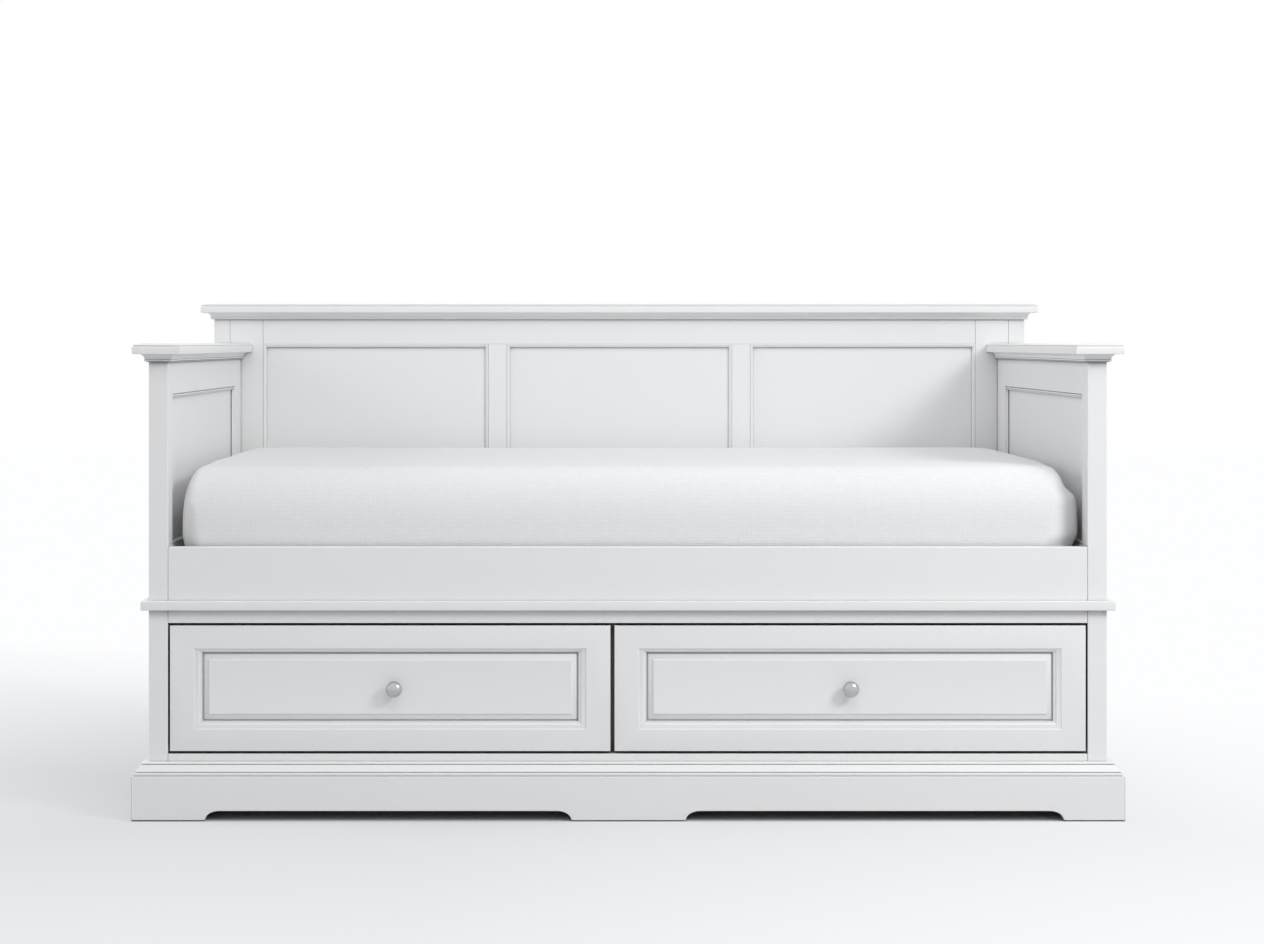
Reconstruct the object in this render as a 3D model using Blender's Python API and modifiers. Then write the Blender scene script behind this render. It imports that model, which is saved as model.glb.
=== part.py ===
"""A white painted storage daybed: panelled arms and back, two drawers on a plinth, slats and a mattress.

Lengths are in metres. X runs along the bed, from left to right as seen from the front, Y runs from the
front to the back and Z runs up from the floor. The origin is on the floor, at the middle of the overall
length and depth.
"""

import math

import bmesh
import bpy
from mathutils import Matrix, Vector

# Clearances
JOINT_GAP = 0.0003
CUT_OVERRUN = 0.010
MERGE_DISTANCE = 0.00001

# Mattress, which sets the room inside the bed. It lies a little to the right in that room, and its
# cover's fold fills part of what is left. The fold's level is a share of the half thickness
MATTRESS_LENGTH = 1.900
MATTRESS_WIDTH = 0.990
MATTRESS_THICKNESS = 0.2335
MATTRESS_END_ROOM = 0.0096
MATTRESS_SIDE_ROOM = 0.008
MATTRESS_SHOULDER = 0.046
MATTRESS_CROWN = 0.007
MATTRESS_DRAW_IN = 0.010
MATTRESS_FOLD_SPREAD = 0.090
MATTRESS_SHIFT_SHARE = 0.2
MATTRESS_FOLD_SHARE = 0.7
MATTRESS_FOLD_LEVEL_SHARE = -0.5

# Posts and rails
POST_WIDTH = 0.040
POST_DEPTH = 0.054
RAIL_THICKNESS = 0.024
BACK_WIDER = 0.0275
EDGE_EASE = 0.0012
ROUGH_EASE = 0.0008

# Heights of the front, from the floor up
PLINTH_HEIGHT = 0.093
BASE_MOULDING_HEIGHT = 0.026
SILL_REVEAL = 0.016
DRAWER_LEVEL_GAP = 0.0045
DRAWER_FRONT_HEIGHT = 0.2635
RAIL_BELOW_BELT = 0.0275
BELT_HEIGHT = 0.019
RAIL_ABOVE_BELT = 0.112

# Plinth, base moulding and belt moulding, each by how far it stands proud of the posts
PLINTH_PROUD = 0.0308
LEFT_FOOT_WIDTH = 0.149
RIGHT_FOOT_WIDTH = 0.123
MIDDLE_FOOT_WIDTH = 0.230
MIDDLE_FOOT_OFF_CENTRE = 0.001
CUTOUT_HEIGHT = 0.0215
CUTOUT_CURVE = 0.030
CUTOUT_FLARE = 0.004
CUTOUT_FLARE_HEIGHT = 0.003
BASE_MOULDING_PROUD = 0.027
BELT_PROUD = 0.012

# Arms and back
ARM_PANEL_HEIGHT = 0.318
ARM_TOP_RAIL_HEIGHT = 0.0675
ARM_STILE_WIDTH = 0.101
BACK_ABOVE_ARMS = 0.0995
BACK_TOP_RAIL_HEIGHT = 0.062
BACK_FRAME_THICKNESS = 0.040
BACK_STILE_WIDTH = 0.0836
MUNTIN_WIDTH = 0.0455
BACK_BOARD_THICKNESS = 0.012
BACK_BOARD_FLOOR_ROOM = 0.030
PANEL_THICKNESS = 0.018
PANEL_RECESS = 0.009
PANEL_MOULDING_WIDTH = 0.0085

# Crown moulding and cap, alike on the arms and the back
CROWN_HEIGHT = 0.0185
CROWN_PROUD = 0.0206
CROWN_BEAD_PROUD = 0.009
CROWN_BEAD_HEIGHT = 0.005
CROWN_BEAD_ROUND = 0.00125
CAP_HEIGHT = 0.021
CAP_OVERHANG = 0.0297
CAP_FACE_HEIGHT = 0.0122
CAP_TOP_SETBACK = 0.0150

# Drawers
DRAWER_SPLIT_OFF_CENTRE = -0.032
DRAWER_MIDDLE_GAP = 0.0073
DRAWER_SIDE_GAP = 0.0035
DRAWER_REAR_ROOM = 0.002
DRAWER_MARGIN = 0.050
RAISED_PROFILE_WIDTH = 0.0288
RAISED_PROFILE_DEPTH = 0.011
BOX_REAR_ROOM = 0.128
BOX_BELOW_FRONT_TOP = 0.0175
BOX_LIFT = 0.010
BOX_SIDE_THICKNESS = 0.015
BOX_BACK_THICKNESS = 0.012
BOX_BOTTOM_THICKNESS = 0.009
PARTITION_THICKNESS = 0.018
RUNNER_LENGTH = 0.800
RUNNER_HEIGHT = 0.020
RUNNER_THICKNESS = 0.0105
RUNNER_SETBACK = 0.030
RUNNER_ROOM = 0.003
GROOVE_PLAY = 0.0007

# Knobs
KNOB_DIAMETER = 0.034
KNOB_REACH = 0.029
KNOB_HEAD_DEPTH = 0.022
KNOB_NECK_DIAMETER = 0.0125
KNOB_FOOT_DIAMETER = 0.018
KNOB_FOOT_HEIGHT = 0.0025
KNOB_FOOT_RIM_SHARE = 0.7
KNOB_FOOT_TOP_SHARE = 0.3
LEFT_KNOB_OFF_CENTRE = 0.009

# Slats
SLATS_BELOW_RAIL_TOP = 0.066
SLAT_COUNT = 14
SLAT_WIDTH = 0.068
SLAT_THICKNESS = 0.018
SLAT_END_ROOM = 0.006
BATTEN_WIDTH = 0.040
BATTEN_THICKNESS = 0.012
BATTEN_LET_IN = 0.001
BATTEN_INSET = 0.220
CLEAT_HEIGHT = 0.030
CLEAT_THICKNESS = 0.022
CLEAT_END_ROOM = 0.020

# Counts of pieces, and of the steps that set how smooth the curved forms are
BACK_PANEL_WORDS = ("left", "middle", "right")
COVE_STEPS = 5
CUTOUT_STEPS = 6
KNOB_STEPS = 24
KNOB_HEAD_STEPS = 8
MATTRESS_SPANS = 10
MATTRESS_SHOULDER_SPANS = 4
SMOOTH_ANGLE = math.radians(32)

# How suddenly the mattress's crown falls away, along it and across it
CROWN_POWER_ALONG = 8
CROWN_POWER_ACROSS = 4

# Profiles, as shares of the width and of the depth or height that each one has
RAISED_PROFILE_SHARES = (
    (0.0, 0.0),
    (0.05, 0.05),
    (0.13, 0.15),
    (0.20, 0.22),
    (0.26, 0.36),
    (0.27, 0.46),
    (0.33, 0.49),
    (0.40, 0.60),
    (0.44, 0.80),
    (0.46, 1.0),
    (0.515, 1.0),
    (0.70, 0.68),
    (0.95, 0.38),
    (0.97, 0.29),
    (1.0, 0.27),
)
PANEL_PROFILE_SHARES = (
    (0.0, 0.0),
    (0.06, 0.14),
    (0.22, 0.18),
    (0.44, 0.22),
    (0.60, 0.34),
    (0.68, 0.56),
    (0.90, 0.62),
    (1.0, 1.0),
)
BASE_MOULDING_SHARES = (
    (0.96, 0.0),
    (1.0, 0.05),
    (1.0, 0.19),
    (0.97, 0.27),
    (0.90, 0.33),
    (0.87, 0.34),
    (0.83, 0.42),
    (0.71, 0.61),
    (0.60, 0.76),
    (0.52, 0.86),
    (0.49, 0.87),
    (0.34, 0.885),
    (0.25, 0.92),
    (0.19, 1.0),
)
CAP_EDGE_SHARES = ((0.0, 0.0), (0.07, 0.16), (0.20, 0.28), (0.92, 0.92), (1.0, 1.0))

# Finishes: colour, roughness, metallic
FINISHES = {
    "white_paint": ((0.80, 0.80, 0.79), 0.38, 0.0),
    "birch_plywood": ((0.64, 0.50, 0.34), 0.55, 0.0),
    "pine": ((0.66, 0.49, 0.30), 0.60, 0.0),
    "beech": ((0.56, 0.37, 0.22), 0.45, 0.0),
    "nickel": ((0.60, 0.61, 0.63), 0.18, 1.0),
    "white_cotton": ((0.82, 0.82, 0.82), 0.90, 0.0),
}

# Lengthways levels, from the middle of the bed outwards
ARM_IN = MATTRESS_LENGTH / 2 + MATTRESS_END_ROOM
ARM_OUT = ARM_IN + POST_WIDTH
BACK_OUT = ARM_OUT + BACK_WIDER
BACK_POST_IN = BACK_OUT - POST_WIDTH
BACK_STILE_IN = BACK_POST_IN - BACK_STILE_WIDTH
PLINTH_OUT = ARM_OUT + PLINTH_PROUD

# Levels from front to back
BED_ROOM_WIDTH = MATTRESS_WIDTH + 2 * MATTRESS_SIDE_ROOM
BACK_DEPTH = RAIL_THICKNESS + BED_ROOM_WIDTH
OVERALL_DEPTH = PLINTH_PROUD + BACK_DEPTH + POST_DEPTH + CAP_OVERHANG
FRONT = PLINTH_PROUD - OVERALL_DEPTH / 2
RAIL_REAR = FRONT + RAIL_THICKNESS
POST_REAR = FRONT + POST_DEPTH
BACK_FACE = FRONT + BACK_DEPTH
BACK_FRAME_REAR = BACK_FACE + BACK_FRAME_THICKNESS
BACK_REAR = BACK_FACE + POST_DEPTH
ARM_STILE_FACE = BACK_FACE - ARM_STILE_WIDTH
DRAWER_FRONT_THICKNESS = RAIL_THICKNESS - DRAWER_REAR_ROOM
DRAWER_FRONT_REAR = FRONT + DRAWER_FRONT_THICKNESS
BOX_REAR = BACK_FACE - BOX_REAR_ROOM
RUNNER_FRONT = RAIL_REAR + RUNNER_SETBACK

# Levels from the floor up
BASE_MOULDING_TOP = PLINTH_HEIGHT + BASE_MOULDING_HEIGHT
SILL = BASE_MOULDING_TOP + SILL_REVEAL
DRAWER_BOTTOM = SILL + DRAWER_LEVEL_GAP
DRAWER_TOP = DRAWER_BOTTOM + DRAWER_FRONT_HEIGHT
RAIL_BOTTOM = DRAWER_TOP + DRAWER_LEVEL_GAP
BELT_BOTTOM = RAIL_BOTTOM + RAIL_BELOW_BELT
BELT_TOP = BELT_BOTTOM + BELT_HEIGHT
RAIL_TOP = BELT_TOP + RAIL_ABOVE_BELT
ARM_PANEL_TOP = RAIL_TOP + ARM_PANEL_HEIGHT
ARM_TOP = ARM_PANEL_TOP + ARM_TOP_RAIL_HEIGHT
BACK_TOP = ARM_TOP + BACK_ABOVE_ARMS
BACK_PANEL_TOP = BACK_TOP - BACK_TOP_RAIL_HEIGHT
SLAT_TOP = RAIL_TOP - SLATS_BELOW_RAIL_TOP
SLAT_BOTTOM = SLAT_TOP - SLAT_THICKNESS
BATTEN_BOTTOM = SLAT_BOTTOM + BATTEN_LET_IN - BATTEN_THICKNESS
CLEAT_TOP = SLAT_BOTTOM - JOINT_GAP
CLEAT_BOTTOM = CLEAT_TOP - CLEAT_HEIGHT
BOX_BOTTOM = DRAWER_BOTTOM + BOX_LIFT
BOX_TOP = DRAWER_TOP - BOX_BELOW_FRONT_TOP
RUNNER_MIDDLE = (BOX_BOTTOM + BOX_TOP) / 2
KNOB_LEVEL = (DRAWER_BOTTOM + DRAWER_TOP) / 2

SIDES = (("left", -1), ("right", 1))


def clear_scene():
    for old in list(bpy.data.objects):
        bpy.data.objects.remove(old, do_unlink=True)


def new_collection(name):
    collection = bpy.data.collections.new(name)
    bpy.context.scene.collection.children.link(collection)
    return collection


def finish_of(name, kind):
    """A painted, bare or plated surface of the piece's own."""
    colour, roughness, metallic = FINISHES[kind]
    material = bpy.data.materials.new(name + "_" + kind)
    material.use_nodes = True
    shader = material.node_tree.nodes["Principled BSDF"]
    shader.inputs["Base Color"].default_value = (*colour, 1)
    shader.inputs["Roughness"].default_value = roughness
    shader.inputs["Metallic"].default_value = metallic
    material.diffuse_color = (*colour, 1)
    return material


def piece_from(mesh_tool, name, kind):
    """A named piece of the bed from a finished bmesh."""
    mesh = bpy.data.meshes.new(name)
    mesh_tool.to_mesh(mesh)
    mesh_tool.free()
    piece = bpy.data.objects.new(name, mesh)
    PARTS.objects.link(piece)
    mesh.materials.append(finish_of(name, kind))
    return piece


def ease_edges(piece, width, segments):
    bevel = piece.modifiers.new("eased_edges", "BEVEL")
    bevel.width = width
    bevel.segments = segments
    bevel.limit_method = "ANGLE"


def box_mesh(x, y, z):
    """A cube primitive scaled to the three spans about its own origin, and the place of its centre."""
    low = Vector((min(x), min(y), min(z)))
    high = Vector((max(x), max(y), max(z)))
    mesh_tool = bmesh.new()
    bmesh.ops.create_cube(mesh_tool, size=1)
    bmesh.ops.scale(mesh_tool, vec=high - low, verts=mesh_tool.verts)
    return mesh_tool, (low + high) / 2


def board(name, x, y, z, kind="white_paint"):
    """A straight board with eased edges. Bare wood has a single narrow chamfer."""
    mesh_tool, centre = box_mesh(x, y, z)
    piece = piece_from(mesh_tool, name, kind)
    piece.location = centre
    if kind == "white_paint":
        ease_edges(piece, EDGE_EASE, 2)
    else:
        ease_edges(piece, ROUGH_EASE, 1)
    return piece


def as_cutter(name, mesh_tool, centre):
    mesh = bpy.data.meshes.new(name)
    mesh_tool.to_mesh(mesh)
    mesh_tool.free()
    cutter = bpy.data.objects.new(name, mesh)
    CUTTERS.objects.link(cutter)
    cutter.location = centre
    cutter.hide_render = True
    cutter.display_type = "WIRE"
    return cutter


def combine(piece, other, operation):
    boolean = piece.modifiers.new(other.name, "BOOLEAN")
    boolean.operation = operation
    boolean.solver = "EXACT"
    boolean.object = other


def loft_mesh(rings):
    """Faces between one closed ring of points and the next, with the first and the last ring filled."""
    mesh_tool = bmesh.new()
    loops = [[mesh_tool.verts.new(point) for point in ring] for ring in rings]
    for ring, following in zip(loops, loops[1:]):
        for i, corner in enumerate(ring):
            j = (i + 1) % len(ring)
            mesh_tool.faces.new((corner, ring[j], following[j], following[i]))
    mesh_tool.faces.new(loops[0])
    mesh_tool.faces.new(loops[-1])
    bmesh.ops.recalc_face_normals(mesh_tool, faces=mesh_tool.faces)
    return mesh_tool


def loft(name, rings, kind="white_paint"):
    piece = piece_from(loft_mesh(rings), name, kind)
    piece.data.shade_smooth()
    piece.data.set_sharp_from_angle(angle=SMOOTH_ANGLE)
    return piece


def from_both_sides(side, inner, outer):
    """A span on the left or the right of the bed, given by its distances from the middle."""
    return (side * inner, side * outer)


def add_posts():
    for word, side in SIDES:
        board(
            "front_post_" + word,
            from_both_sides(side, ARM_IN, ARM_OUT),
            (FRONT, POST_REAR),
            (0, ARM_TOP),
        )
        board(
            "back_post_" + word,
            from_both_sides(side, BACK_POST_IN, BACK_OUT),
            (BACK_FACE, BACK_REAR),
            (0, BACK_TOP),
        )


def add_front_rails():
    reach = ARM_IN - JOINT_GAP
    board("front_bed_rail", (-reach, reach), (FRONT, RAIL_REAR), (RAIL_BOTTOM, RAIL_TOP))
    board("drawer_sill_rail", (-reach, reach), (FRONT, RAIL_REAR), (PLINTH_HEIGHT, SILL))


def add_mitred_moulding(name, profile, bottom):
    """Three lengths round the front and the sides, mitred at the corners.

    Each point of the profile is how far it stands proud of the posts, and its height above the bottom.
    """
    front_ends = []
    for word, side in SIDES:
        front_end, mitre, rear_end = [], [], []
        for proud, rise in profile:
            out = ARM_OUT + proud
            level = bottom + rise
            front_end.append((side * (out - JOINT_GAP), FRONT - proud, level))
            mitre.append((side * out, FRONT - proud + JOINT_GAP, level))
            rear_end.append((side * out, BACK_FACE - JOINT_GAP, level))
        front_ends.append(front_end)
        loft(name + "_" + word, [mitre, rear_end])
    return loft(name + "_front", front_ends)


def square_profile(proud, height):
    """A flat board's section, with its two outer edges eased."""
    return (
        (JOINT_GAP, 0),
        (proud - EDGE_EASE, 0),
        (proud, EDGE_EASE),
        (proud, height - EDGE_EASE),
        (proud - EDGE_EASE, height),
        (JOINT_GAP, height),
    )


def base_moulding_profile():
    height = BASE_MOULDING_HEIGHT - JOINT_GAP
    outer = [(across * BASE_MOULDING_PROUD, up * height) for across, up in BASE_MOULDING_SHARES]
    return [(JOINT_GAP, 0), *outer, (JOINT_GAP, height)]


def cutout_outline(start, end):
    """A low arch on the floor line: a flat top, and at each end a quarter of an ellipse and a flare."""
    rise = CUTOUT_HEIGHT - CUTOUT_FLARE_HEIGHT
    half = [(start - CUTOUT_FLARE, -CUT_OVERRUN), (start - CUTOUT_FLARE, 0)]
    for i in range(CUTOUT_STEPS + 1):
        turn = math.pi / 2 * i / CUTOUT_STEPS
        half.append(
            (
                start + CUTOUT_CURVE * (1 - math.cos(turn)),
                CUTOUT_FLARE_HEIGHT + rise * math.sin(turn),
            )
        )
    other = [(start + end - across, up) for across, up in reversed(half)]
    return half + other


def add_plinth():
    front = add_mitred_moulding("plinth", square_profile(PLINTH_PROUD, PLINTH_HEIGHT), 0)
    middle_start = MIDDLE_FOOT_OFF_CENTRE - MIDDLE_FOOT_WIDTH / 2
    middle_end = MIDDLE_FOOT_OFF_CENTRE + MIDDLE_FOOT_WIDTH / 2
    spans = {
        "left": (LEFT_FOOT_WIDTH - PLINTH_OUT, middle_start),
        "right": (middle_end, PLINTH_OUT - RIGHT_FOOT_WIDTH),
    }
    for word, (start, end) in spans.items():
        outline = cutout_outline(start + CUTOUT_FLARE, end - CUTOUT_FLARE)
        rings = [
            [(across, level, up) for across, up in outline]
            for level in (FRONT - PLINTH_PROUD - CUT_OVERRUN, FRONT + CUT_OVERRUN)
        ]
        cutter = as_cutter("plinth_cutout_" + word, loft_mesh(rings), (0, 0, 0))
        combine(front, cutter, "DIFFERENCE")


def add_base_and_belt_mouldings():
    add_mitred_moulding("base_moulding", base_moulding_profile(), PLINTH_HEIGHT + JOINT_GAP)
    add_mitred_moulding("belt_moulding", square_profile(BELT_PROUD, BELT_HEIGHT), BELT_BOTTOM)


def crown_profile():
    """A rounded bead below a cove, by how far each point stands out and its height."""
    cove_foot = CROWN_BEAD_PROUD - CROWN_BEAD_ROUND
    points = [
        (cove_foot, 0),
        (CROWN_BEAD_PROUD, CROWN_BEAD_ROUND),
        (CROWN_BEAD_PROUD, CROWN_BEAD_HEIGHT - CROWN_BEAD_ROUND),
        (cove_foot, CROWN_BEAD_HEIGHT),
    ]
    cove_height = CROWN_HEIGHT - JOINT_GAP - CROWN_BEAD_HEIGHT
    for i in range(1, COVE_STEPS + 1):
        turn = math.pi / 2 * i / COVE_STEPS
        out = cove_foot + (CROWN_PROUD - cove_foot) * (1 - math.cos(turn))
        points.append((out, CROWN_BEAD_HEIGHT + cove_height * math.sin(turn)))
    return points


def cap_profile():
    """An upright face with an eased foot, below a rounded shoulder and a long bevel."""
    bevel_height = CAP_HEIGHT - JOINT_GAP - CAP_FACE_HEIGHT
    points = [(CAP_OVERHANG - EDGE_EASE, 0), (CAP_OVERHANG, EDGE_EASE)]
    for across, up in CAP_EDGE_SHARES:
        points.append((CAP_OVERHANG - across * CAP_TOP_SETBACK, CAP_FACE_HEIGHT + up * bevel_height))
    return points


def top_piece(name, x, y, profile, bottom, rear_stands_out):
    """A crown or cap: level rings round a rectangle, each as far out as the profile says.

    An arm's crown and cap end flat against the back, so their rear side doesn't stand out.
    """
    rings = []
    for out, rise in profile:
        rear = max(y) + (out if rear_stands_out else 0)
        left, right, front = min(x) - out, max(x) + out, min(y) - out
        corners = ((left, front), (right, front), (right, rear), (left, rear))
        rings.append([(*corner, bottom + rise) for corner in corners])
    return loft(name, rings)


def add_crown_and_cap(name, x, y, bottom, rear_stands_out):
    crown_bottom = bottom + JOINT_GAP
    cap_bottom = bottom + CROWN_HEIGHT + JOINT_GAP
    top_piece(name + "_crown", x, y, crown_profile(), crown_bottom, rear_stands_out)
    top_piece(name + "_cap", x, y, cap_profile(), cap_bottom, rear_stands_out)


def panel_rings(u, v, near, far, to_point):
    """Rings of a flat panel with a moulded rim on both faces, from the near field to the far one.

    u and v are the opening's spans, near and far the frame's two faces, and to_point places a corner.
    """
    far_recess = far - near - PANEL_RECESS - PANEL_THICKNESS
    steps = [
        (across * PANEL_MOULDING_WIDTH, near + deep * PANEL_RECESS)
        for across, deep in reversed(PANEL_PROFILE_SHARES)
    ]
    steps += [
        (across * PANEL_MOULDING_WIDTH, far - deep * far_recess) for across, deep in PANEL_PROFILE_SHARES
    ]
    rings = []
    for inset, depth in steps:
        margin = inset + JOINT_GAP
        u_low, u_high = min(u) + margin, max(u) - margin
        v_low, v_high = min(v) + margin, max(v) - margin
        corners = ((u_low, v_low), (u_high, v_low), (u_high, v_high), (u_low, v_high))
        rings.append([to_point(across, up, depth) for across, up in corners])
    return rings


def add_arm(word, side):
    across = from_both_sides(side, ARM_IN, ARM_OUT)
    name = "arm_" + word
    panel_span = (POST_REAR, ARM_STILE_FACE)
    rail_span = (POST_REAR + JOINT_GAP, ARM_STILE_FACE - JOINT_GAP)
    stile_span = (ARM_STILE_FACE, BACK_FACE - JOINT_GAP)
    board_span = (POST_REAR + JOINT_GAP, BACK_FACE - JOINT_GAP)
    board(name + "_end_board", across, board_span, (0, RAIL_TOP))
    board(name + "_top_rail", across, rail_span, (ARM_PANEL_TOP, ARM_TOP))
    board(name + "_back_stile", across, stile_span, (RAIL_TOP + JOINT_GAP, ARM_TOP))
    rings = panel_rings(
        panel_span,
        (RAIL_TOP, ARM_PANEL_TOP),
        ARM_IN,
        ARM_OUT,
        lambda u, v, depth: (side * depth, u, v),
    )
    loft(name + "_panel", rings)
    add_crown_and_cap(name, across, (FRONT, BACK_FACE - JOINT_GAP), ARM_TOP, False)


def add_back_frame():
    depth = (BACK_FACE, BACK_FRAME_REAR)
    inner = BACK_STILE_IN - JOINT_GAP
    for word, side in SIDES:
        board(
            "back_stile_" + word,
            from_both_sides(side, BACK_STILE_IN, BACK_POST_IN - JOINT_GAP),
            depth,
            (BELT_TOP, BACK_TOP),
        )
    board("back_top_rail", (-inner, inner), depth, (BACK_PANEL_TOP, BACK_TOP))
    board("back_bottom_rail", (-inner, inner), depth, (BELT_TOP, RAIL_TOP))
    board_reach = BACK_POST_IN - JOINT_GAP
    board(
        "lower_back_board",
        (-board_reach, board_reach),
        (BACK_FACE, BACK_FACE + BACK_BOARD_THICKNESS),
        (BACK_BOARD_FLOOR_ROOM, BELT_TOP - JOINT_GAP),
    )


def add_back_panels():
    panels = len(BACK_PANEL_WORDS)
    panel_width = (2 * BACK_STILE_IN - (panels - 1) * MUNTIN_WIDTH) / panels
    for place, word in enumerate(BACK_PANEL_WORDS):
        start = place * (panel_width + MUNTIN_WIDTH) - BACK_STILE_IN
        rings = panel_rings(
            (start, start + panel_width),
            (RAIL_TOP, BACK_PANEL_TOP),
            BACK_FACE,
            BACK_FRAME_REAR,
            lambda u, v, depth: (u, depth, v),
        )
        loft("back_panel_" + word, rings)
    for word, side in SIDES:
        board(
            "back_muntin_" + word,
            from_both_sides(side, panel_width / 2, panel_width / 2 + MUNTIN_WIDTH),
            (BACK_FACE, BACK_FRAME_REAR),
            (RAIL_TOP + JOINT_GAP, BACK_PANEL_TOP - JOINT_GAP),
        )


def add_back():
    add_back_frame()
    add_back_panels()
    add_crown_and_cap("back", (-BACK_OUT, BACK_OUT), (BACK_FACE, BACK_REAR), BACK_TOP, True)


def add_slat_base():
    """Slats from front to back on two battens, which are let into their undersides."""
    reach = MATTRESS_LENGTH / 2 - SLAT_END_ROOM
    first = (-reach, SLAT_WIDTH - reach)
    depth = (RAIL_REAR + SLAT_END_ROOM, BACK_FACE - SLAT_END_ROOM)
    mesh_tool, centre = box_mesh(first, depth, (SLAT_BOTTOM, SLAT_TOP))
    slats = piece_from(mesh_tool, "slat_base", "pine")
    slats.location = centre
    row = slats.modifiers.new("row_of_slats", "ARRAY")
    row.count = SLAT_COUNT
    row.use_relative_offset = False
    row.use_constant_offset = True
    row.constant_offset_displace = ((2 * reach - SLAT_WIDTH) / (SLAT_COUNT - 1), 0, 0)
    levels = (BATTEN_BOTTOM, BATTEN_BOTTOM + BATTEN_THICKNESS)
    for word, near in (
        ("front", RAIL_REAR + BATTEN_INSET),
        ("back", BACK_FACE - BATTEN_INSET - BATTEN_WIDTH),
    ):
        batten_mesh, batten_centre = box_mesh((-reach, reach), (near, near + BATTEN_WIDTH), levels)
        combine(slats, as_cutter("batten_" + word, batten_mesh, batten_centre), "UNION")


def add_cleats():
    """The ledges that the slats' ends lie on."""
    reach = ARM_IN - CLEAT_END_ROOM
    levels = (CLEAT_BOTTOM, CLEAT_TOP)
    front = (RAIL_REAR + JOINT_GAP, RAIL_REAR + CLEAT_THICKNESS)
    back = (BACK_FACE - CLEAT_THICKNESS, BACK_FACE - JOINT_GAP)
    board("slat_cleat_front", (-reach, reach), front, levels, "pine")
    board("slat_cleat_back", (-reach, reach), back, levels, "pine")


def add_partition():
    """The upright between the drawers, which also props the middle of both cleats."""
    middle = DRAWER_SPLIT_OFF_CENTRE
    board(
        "drawer_partition",
        (middle - PARTITION_THICKNESS / 2, middle + PARTITION_THICKNESS / 2),
        (RAIL_REAR + JOINT_GAP, BACK_FACE - JOINT_GAP),
        (0, CLEAT_BOTTOM - JOINT_GAP),
        "birch_plywood",
    )


def drawer_bay(side):
    """The clear span beside the partition, up to the arm's end board."""
    partition_face = DRAWER_SPLIT_OFF_CENTRE + side * PARTITION_THICKNESS / 2
    return sorted((side * ARM_IN, partition_face))


def add_runners(word, bay):
    levels = (RUNNER_MIDDLE - RUNNER_HEIGHT / 2, RUNNER_MIDDLE + RUNNER_HEIGHT / 2)
    depth = (RUNNER_FRONT, RUNNER_FRONT + RUNNER_LENGTH)
    spans = {
        "left": (bay[0] + JOINT_GAP, bay[0] + RUNNER_THICKNESS),
        "right": (bay[1] - RUNNER_THICKNESS, bay[1] - JOINT_GAP),
    }
    for hand, span in spans.items():
        board("drawer_" + word + "_runner_" + hand, span, depth, levels, "beech")


def front_span(side):
    """The drawer front's span, from the post to the narrow gap between the two fronts."""
    near_middle = DRAWER_SPLIT_OFF_CENTRE + side * DRAWER_MIDDLE_GAP / 2
    return sorted((side * (ARM_IN - DRAWER_SIDE_GAP), near_middle))


def add_drawer_front(name, span):
    """A slab with eased edges and a raised panel cut into its face."""
    steps = [
        (EDGE_EASE, DRAWER_FRONT_THICKNESS),
        (0, DRAWER_FRONT_THICKNESS - EDGE_EASE),
        (0, EDGE_EASE),
        (EDGE_EASE, 0),
    ]
    steps += [
        (DRAWER_MARGIN + across * RAISED_PROFILE_WIDTH, deep * RAISED_PROFILE_DEPTH)
        for across, deep in RAISED_PROFILE_SHARES
    ]
    rings = []
    for inset, depth in steps:
        left, right = span[0] + inset, span[1] - inset
        low, high = DRAWER_BOTTOM + inset, DRAWER_TOP - inset
        corners = ((left, low), (right, low), (right, high), (left, high))
        rings.append([(across, FRONT + depth, up) for across, up in corners])
    return loft(name, rings)


def add_drawer_side(name, side_span, groove_span):
    """A side board with a groove that the runner fits, closed at its front end."""
    piece = board(
        name,
        side_span,
        (DRAWER_FRONT_REAR + JOINT_GAP, BOX_REAR),
        (BOX_BOTTOM + BOX_BOTTOM_THICKNESS + JOINT_GAP, BOX_TOP),
        "birch_plywood",
    )
    groove_levels = (
        RUNNER_MIDDLE - RUNNER_HEIGHT / 2 - GROOVE_PLAY,
        RUNNER_MIDDLE + RUNNER_HEIGHT / 2 + JOINT_GAP,
    )
    groove_depth = (RUNNER_FRONT - JOINT_GAP, BOX_REAR + CUT_OVERRUN)
    mesh_tool, centre = box_mesh(groove_span, groove_depth, groove_levels)
    combine(piece, as_cutter(name + "_groove", mesh_tool, centre), "DIFFERENCE")
    return piece


def add_drawer_box(name, bay):
    """Two grooved sides and a back that stand on a bottom panel."""
    left, right = bay[0] + RUNNER_ROOM, bay[1] - RUNNER_ROOM
    cut = RUNNER_THICKNESS - RUNNER_ROOM + GROOVE_PLAY
    sides = {
        "left": ((left, left + BOX_SIDE_THICKNESS), (left - CUT_OVERRUN, left + cut)),
        "right": ((right - BOX_SIDE_THICKNESS, right), (right - cut, right + CUT_OVERRUN)),
    }
    pieces = [add_drawer_side(name + "_side_" + hand, *spans) for hand, spans in sides.items()]
    inner = BOX_SIDE_THICKNESS + JOINT_GAP
    levels = (BOX_BOTTOM + BOX_BOTTOM_THICKNESS + JOINT_GAP, BOX_TOP)
    pieces.append(
        board(
            name + "_back",
            (left + inner, right - inner),
            (BOX_REAR - BOX_BACK_THICKNESS, BOX_REAR),
            levels,
            "birch_plywood",
        )
    )
    pieces.append(
        board(
            name + "_bottom",
            (left, right),
            (DRAWER_FRONT_REAR + JOINT_GAP, BOX_REAR),
            (BOX_BOTTOM, BOX_BOTTOM + BOX_BOTTOM_THICKNESS),
            "birch_plywood",
        )
    )
    return pieces


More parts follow.
